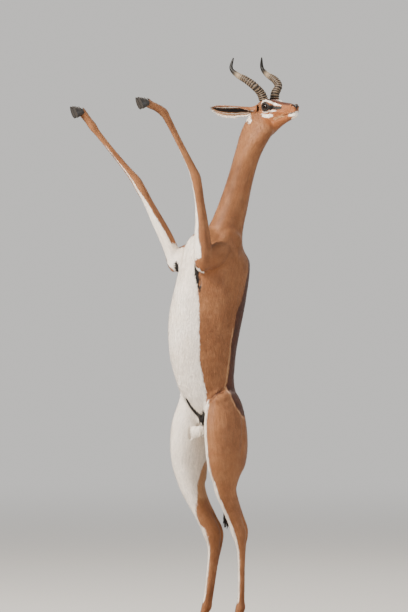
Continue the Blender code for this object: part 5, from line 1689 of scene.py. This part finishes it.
def hoof_mesh(name, at, toe, down):
    """Two pointed claws, side by side, each a closed tube from its sole to the coronet."""
    at, toe, down = (np.array(v, float) for v in (at, toe, down))
    down = unit(down)
    toe = square_to(down, toe)
    across = np.cross(down, toe)
    points, faces, streak = [], [], []
    c, s = circle(HOOF_SIDES)
    for side in (1, -1):
        faces += tube_faces(len(points) * HOOF_SIDES, len(HOOF_HEIGHTS), HOOF_SIDES)
        for u in HOOF_HEIGHTS:
            height = HOOF_TALL * u
            inset = 0.0010 * max(0, u - 0.95) / 0.05 + 0.0014 * max(0, 0.05 - u) / 0.05
            front = HOOF_LONG * 0.60 - 0.50 * height - inset
            back = -HOOF_LONG * 0.40 + 0.08 * height + inset
            wide = 0.0096 + 0.0006 * u - inset
            middle, half = (front + back) / 2, (front - back) / 2
            ripple = 0.00018 * math.sin(u * 44)
            x = middle + (half + ripple) * power(c, 0.92)
            y = (wide + ripple) * s * (1 - 0.30 * c - 0.10 * c * c)
            y = y + side * (0.0094 - 0.0022 * np.maximum(c, 0))
            points.append(at + toe * x[:, None] + across * y[:, None] + down * (HOOF_TALL - height))
            streak.append(np.stack([c * 0.002, s * 0.002, np.full(HOOF_SIDES, u * 0.03)], axis=1))
    return outward(mesh_from(name + "_skin", np.concatenate(points), np.concatenate(faces),
                             {"streak": np.concatenate(streak)}))


def tail_hair():
    """Long flat locks that leave the lower tail on all sides, overlap and hang to points."""
    centres, along, face, side, dense = limb_stations(TAIL, (0, -1, 0), 8)
    arc = arc_of(centres)
    points, faces, streak = [], [], []
    for i in range(TAIL_LOCKS):
        t = TAIL_LOCKS_FROM + TAIL_LOCKS_OVER * ((i + 0.5) / TAIL_LOCKS) ** 0.9
        k = int(np.argmin(np.abs(arc / arc[-1] - t)))
        turn = GOLDEN_TURN * i + RANDOM.normal(0, 0.3)
        out = face[k] * math.cos(turn) + side[k] * math.sin(turn)
        root = centres[k] + out * dense[k, 3] * 0.5
        across = np.cross(along[k], out)
        long = TAIL_LOCK_LONG * (0.70 + 0.30 * math.sin(math.pi * (t - 0.5) / 0.5))
        long *= RANDOM.uniform(0.85, 1.12)
        long = min(long, 0.040 + 0.5 * (1.0 - t) * arc[-1] + 0.018)
        wide = RANDOM.uniform(0.0050, 0.0085)
        sway = across * RANDOM.normal(0, 0.008)
        faces += tube_faces(len(points), TAIL_LOCK_ROWS, 4)
        for u in np.linspace(0, 1, TAIL_LOCK_ROWS):
            swing = TAIL_LOCK_SPREAD * math.sin(u * 2.0) * (1 - 0.35 * u)
            spot = root + along[k] * (long * u) + out * swing + sway * u * u
            w = wide / 2 * (1 - 0.9 * u**2.2) * (0.7 + 0.3 * min(1, u * 5))
            d = 0.0009 * (1 - 0.7 * u)
            points += [spot + across * w, spot + out * d, spot - across * w, spot - out * d]
            streak += [(v * 0.01, i * 0.013, u * 0.004) for v in (1, 0.5, -1, 0.2)]
    return outward(mesh_from("tail_hair", np.array(points), np.concatenate(faces),
                             {"streak": np.array(streak)}))


def shown(name, mesh, material, nodes):
    """A finished piece of the animal, in place of the solids that it stands for."""
    made = new_object(name, mesh)
    mesh.materials.clear()
    mesh.materials.append(material)
    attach(made, "root")
    if nodes:
        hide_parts(*nodes)
    return made


def ear_tufts(side, points, faces, normals, grid, lie):
    """The tufts of an ear, denser and longer along its rim."""
    density = np.where(grid[:, 2] > 0.5, 1.0, 0.25) + 2.5 * np.clip((np.abs(grid[:, 1]) - 0.78) / 0.2, 0, 1)
    density *= np.clip(grid[:, 0] * 20, 0.2, 1)
    corners = pick_faces(points, faces, density, EAR_TUFTS)
    shares = RANDOM.dirichlet((1, 1, 1), EAR_TUFTS)
    spots = blend(shares, points, corners)
    spot_grid = blend(shares, grid, corners)
    rim = np.clip((np.abs(spot_grid[:, 1]) - 0.8) / 0.2, 0, 1)
    long = np.where(spot_grid[:, 2] > 0.5, 0.0065, 0.0085) * (1 + 0.5 * rim)
    long *= RANDOM.uniform(0.8, 1.2, EAR_TUFTS)
    facing = unit(blend(shares, normals, corners))
    flow = lie[corners[:, 0]] * (1 - 0.15 * rim[:, None])
    place = ear_place(side, spot_grid)
    place[:, 1] = 0.42 + 0.5 * place[:, 1]
    return blades(spots, facing, flow, long, 0.0010, 0.10 + 0.15 * rim, ear_marks(spot_grid), place, spots)


def coat_pieces(skin, body_count, ears, material):
    """The tufts of the body, head and ears, in pieces that stay small enough."""
    roots, normals, where = body_tufts(skin, body_count, TUFTS)
    painted = marks(roots, where)
    face = where["weight"]["head"]
    muzzle = np.clip((to_head(roots)[:, 0] - 0.02) / 0.08, 0, 1) * face
    long = where["long"] * (1 - 0.45 * muzzle) * RANDOM.uniform(0.75, 1.25, TUFTS)
    wide = where["wide"] * (1 - 0.35 * muzzle) * RANDOM.uniform(0.8, 1.2, TUFTS)
    long = np.where((painted["white"] > 0) & (face < 0.3), long * 1.2, long)
    lift = 0.10 + RANDOM.uniform(0, 0.10, TUFTS)
    sets = []
    for chunk in np.array_split(RANDOM.permutation(TUFTS), TUFT_PIECES):
        sets.append(blades(roots[chunk], normals[chunk], where["flow"][chunk], long[chunk], wide[chunk],
                           lift[chunk], {name: painted[name][chunk] for name in MARKS}, where["place"][chunk],
                           where["streak"][chunk]))
    for k, made in enumerate(sets, 1):
        shown(f"coat_{k}", blades_mesh(f"coat_{k}", [made]), material, ())
    parts = [ear_tufts(side, *ear) for side, ear in zip((1, -1), ears)]
    shown("coat_ears", blades_mesh("coat_ears", parts), material, ())


def lash_piece(material):
    """The lashes of both eyes."""
    painted = dict(zip(MARKS, np.tile([[-2.0], [-2.0], [-2.0], [2.0], [0.0]], LASHES)))
    place = np.column_stack([np.full(LASHES, 0.97), np.linspace(0.05, 0.35, LASHES)])
    parts = []
    for side in (1, -1):
        roots, lie, out = lashes(side)
        parts.append(blades(roots, out, lie, LASH_LONG, 0.0006, 0.35, painted, place, roots))
    shown("lashes", blades_mesh("lashes", parts), material, ())


def build_animal():
    """The dressed animal, in place of its solids, and the wood of the base."""
    skin, body_count, ears = build_skin()
    parts = [{key: skin[key] for key in ("points", "faces", *MARKS, "streak")}]
    total = len(skin["points"])
    for side in (1, -1):
        lid = lid_arrays(side)
        parts.append({**lid, "faces": lid["faces"] + total, "streak": lid["points"]})
        total += len(lid["points"])
    joined = {key: np.concatenate([part[key] for part in parts]) for key in parts[0]}
    mesh = mesh_from("skin", joined.pop("points"), joined.pop("faces"), joined)
    flesh = ["torso", "neck", "head", "hind_leg_left", "hind_leg_right", "foreleg_left", "foreleg_right",
             "ear_left", "ear_right", "tail"]
    shown("skin", mesh, coat_material("coat_skin", False), flesh)
    hair = coat_material("coat_hair", True)
    coat_pieces(skin, body_count, ears, hair)
    lash_piece(hair)
    horn_look, hoof_look, eye_look = horn_material(), hoof_material(), eye_material()
    for side in (1, -1):
        word = side_word(side)
        shown(f"horn_{word}_skin", horn_mesh(side), horn_look, [f"horn_{word}"])
        shown(f"eye_{word}_skin", eye_mesh(side), eye_look, [f"eye_{word}"])
    for name, (at, toe, down) in HOOVES.items():
        shown(name + "_skin", hoof_mesh(name, at, toe, down), hoof_look, [name])
    shown("tail_hair", tail_hair(), tail_material(), ())
    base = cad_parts["stand_base"]
    base.data.materials.clear()
    base.data.materials.append(base_material())


def aimed(name, data, aim, azimuth, height, distance):
    """A light or camera that looks at a spot from a bearing, a height in degrees and a distance."""
    made = new_object(name, data)
    a, e = math.radians(azimuth), math.radians(height)
    back = Vector((math.sin(a) * math.cos(e), -math.cos(a) * math.cos(e), math.sin(e)))
    made.location = Vector(aim) + back * distance
    made.rotation_mode = "QUATERNION"
    made.rotation_quaternion = (-back).to_track_quat("-Z", "Y")
    return made


def area_light(name, azimuth, height, distance, size, power_in, colour):
    """A soft, round light that looks at the animal's middle."""
    data = bpy.data.lights.new(name, "AREA")
    data.shape = "DISK"
    data.size = size
    data.energy = power_in
    data.color = colour
    aimed(name, data, LIGHT_AIM, azimuth, height, distance)


def build_stage():
    work = bmesh.new()
    bmesh.ops.create_circle(work, cap_ends=True, segments=96, radius=FLOOR_REACH)
    mesh = mesh_of(work, "floor")
    mesh.materials.append(floor_material())
    new_object("floor", mesh)
    world = bpy.data.worlds.new("backdrop")
    world.use_nodes = True
    sky = world.node_tree.nodes["Background"]
    sky.inputs["Color"].default_value = (*BACKDROP, 1)
    sky.inputs["Strength"].default_value = WORLD_LIGHT
    bpy.context.scene.world = world
    for light in LIGHTS:
        area_light(*light)


def build_camera():
    """The photo's view: its bearing, height, distance and frame."""
    data = bpy.data.cameras.new("camera")
    data.sensor_fit = "AUTO"
    data.sensor_width = 36
    data.lens = CAMERA_LENS
    data.clip_start, data.clip_end = 0.5, 200
    made = aimed("camera", data, CAMERA_AIM, CAMERA_BEARING, CAMERA_HEIGHT, CAMERA_DISTANCE)
    bpy.context.scene.camera = made


build_animal()
build_stage()
build_camera()
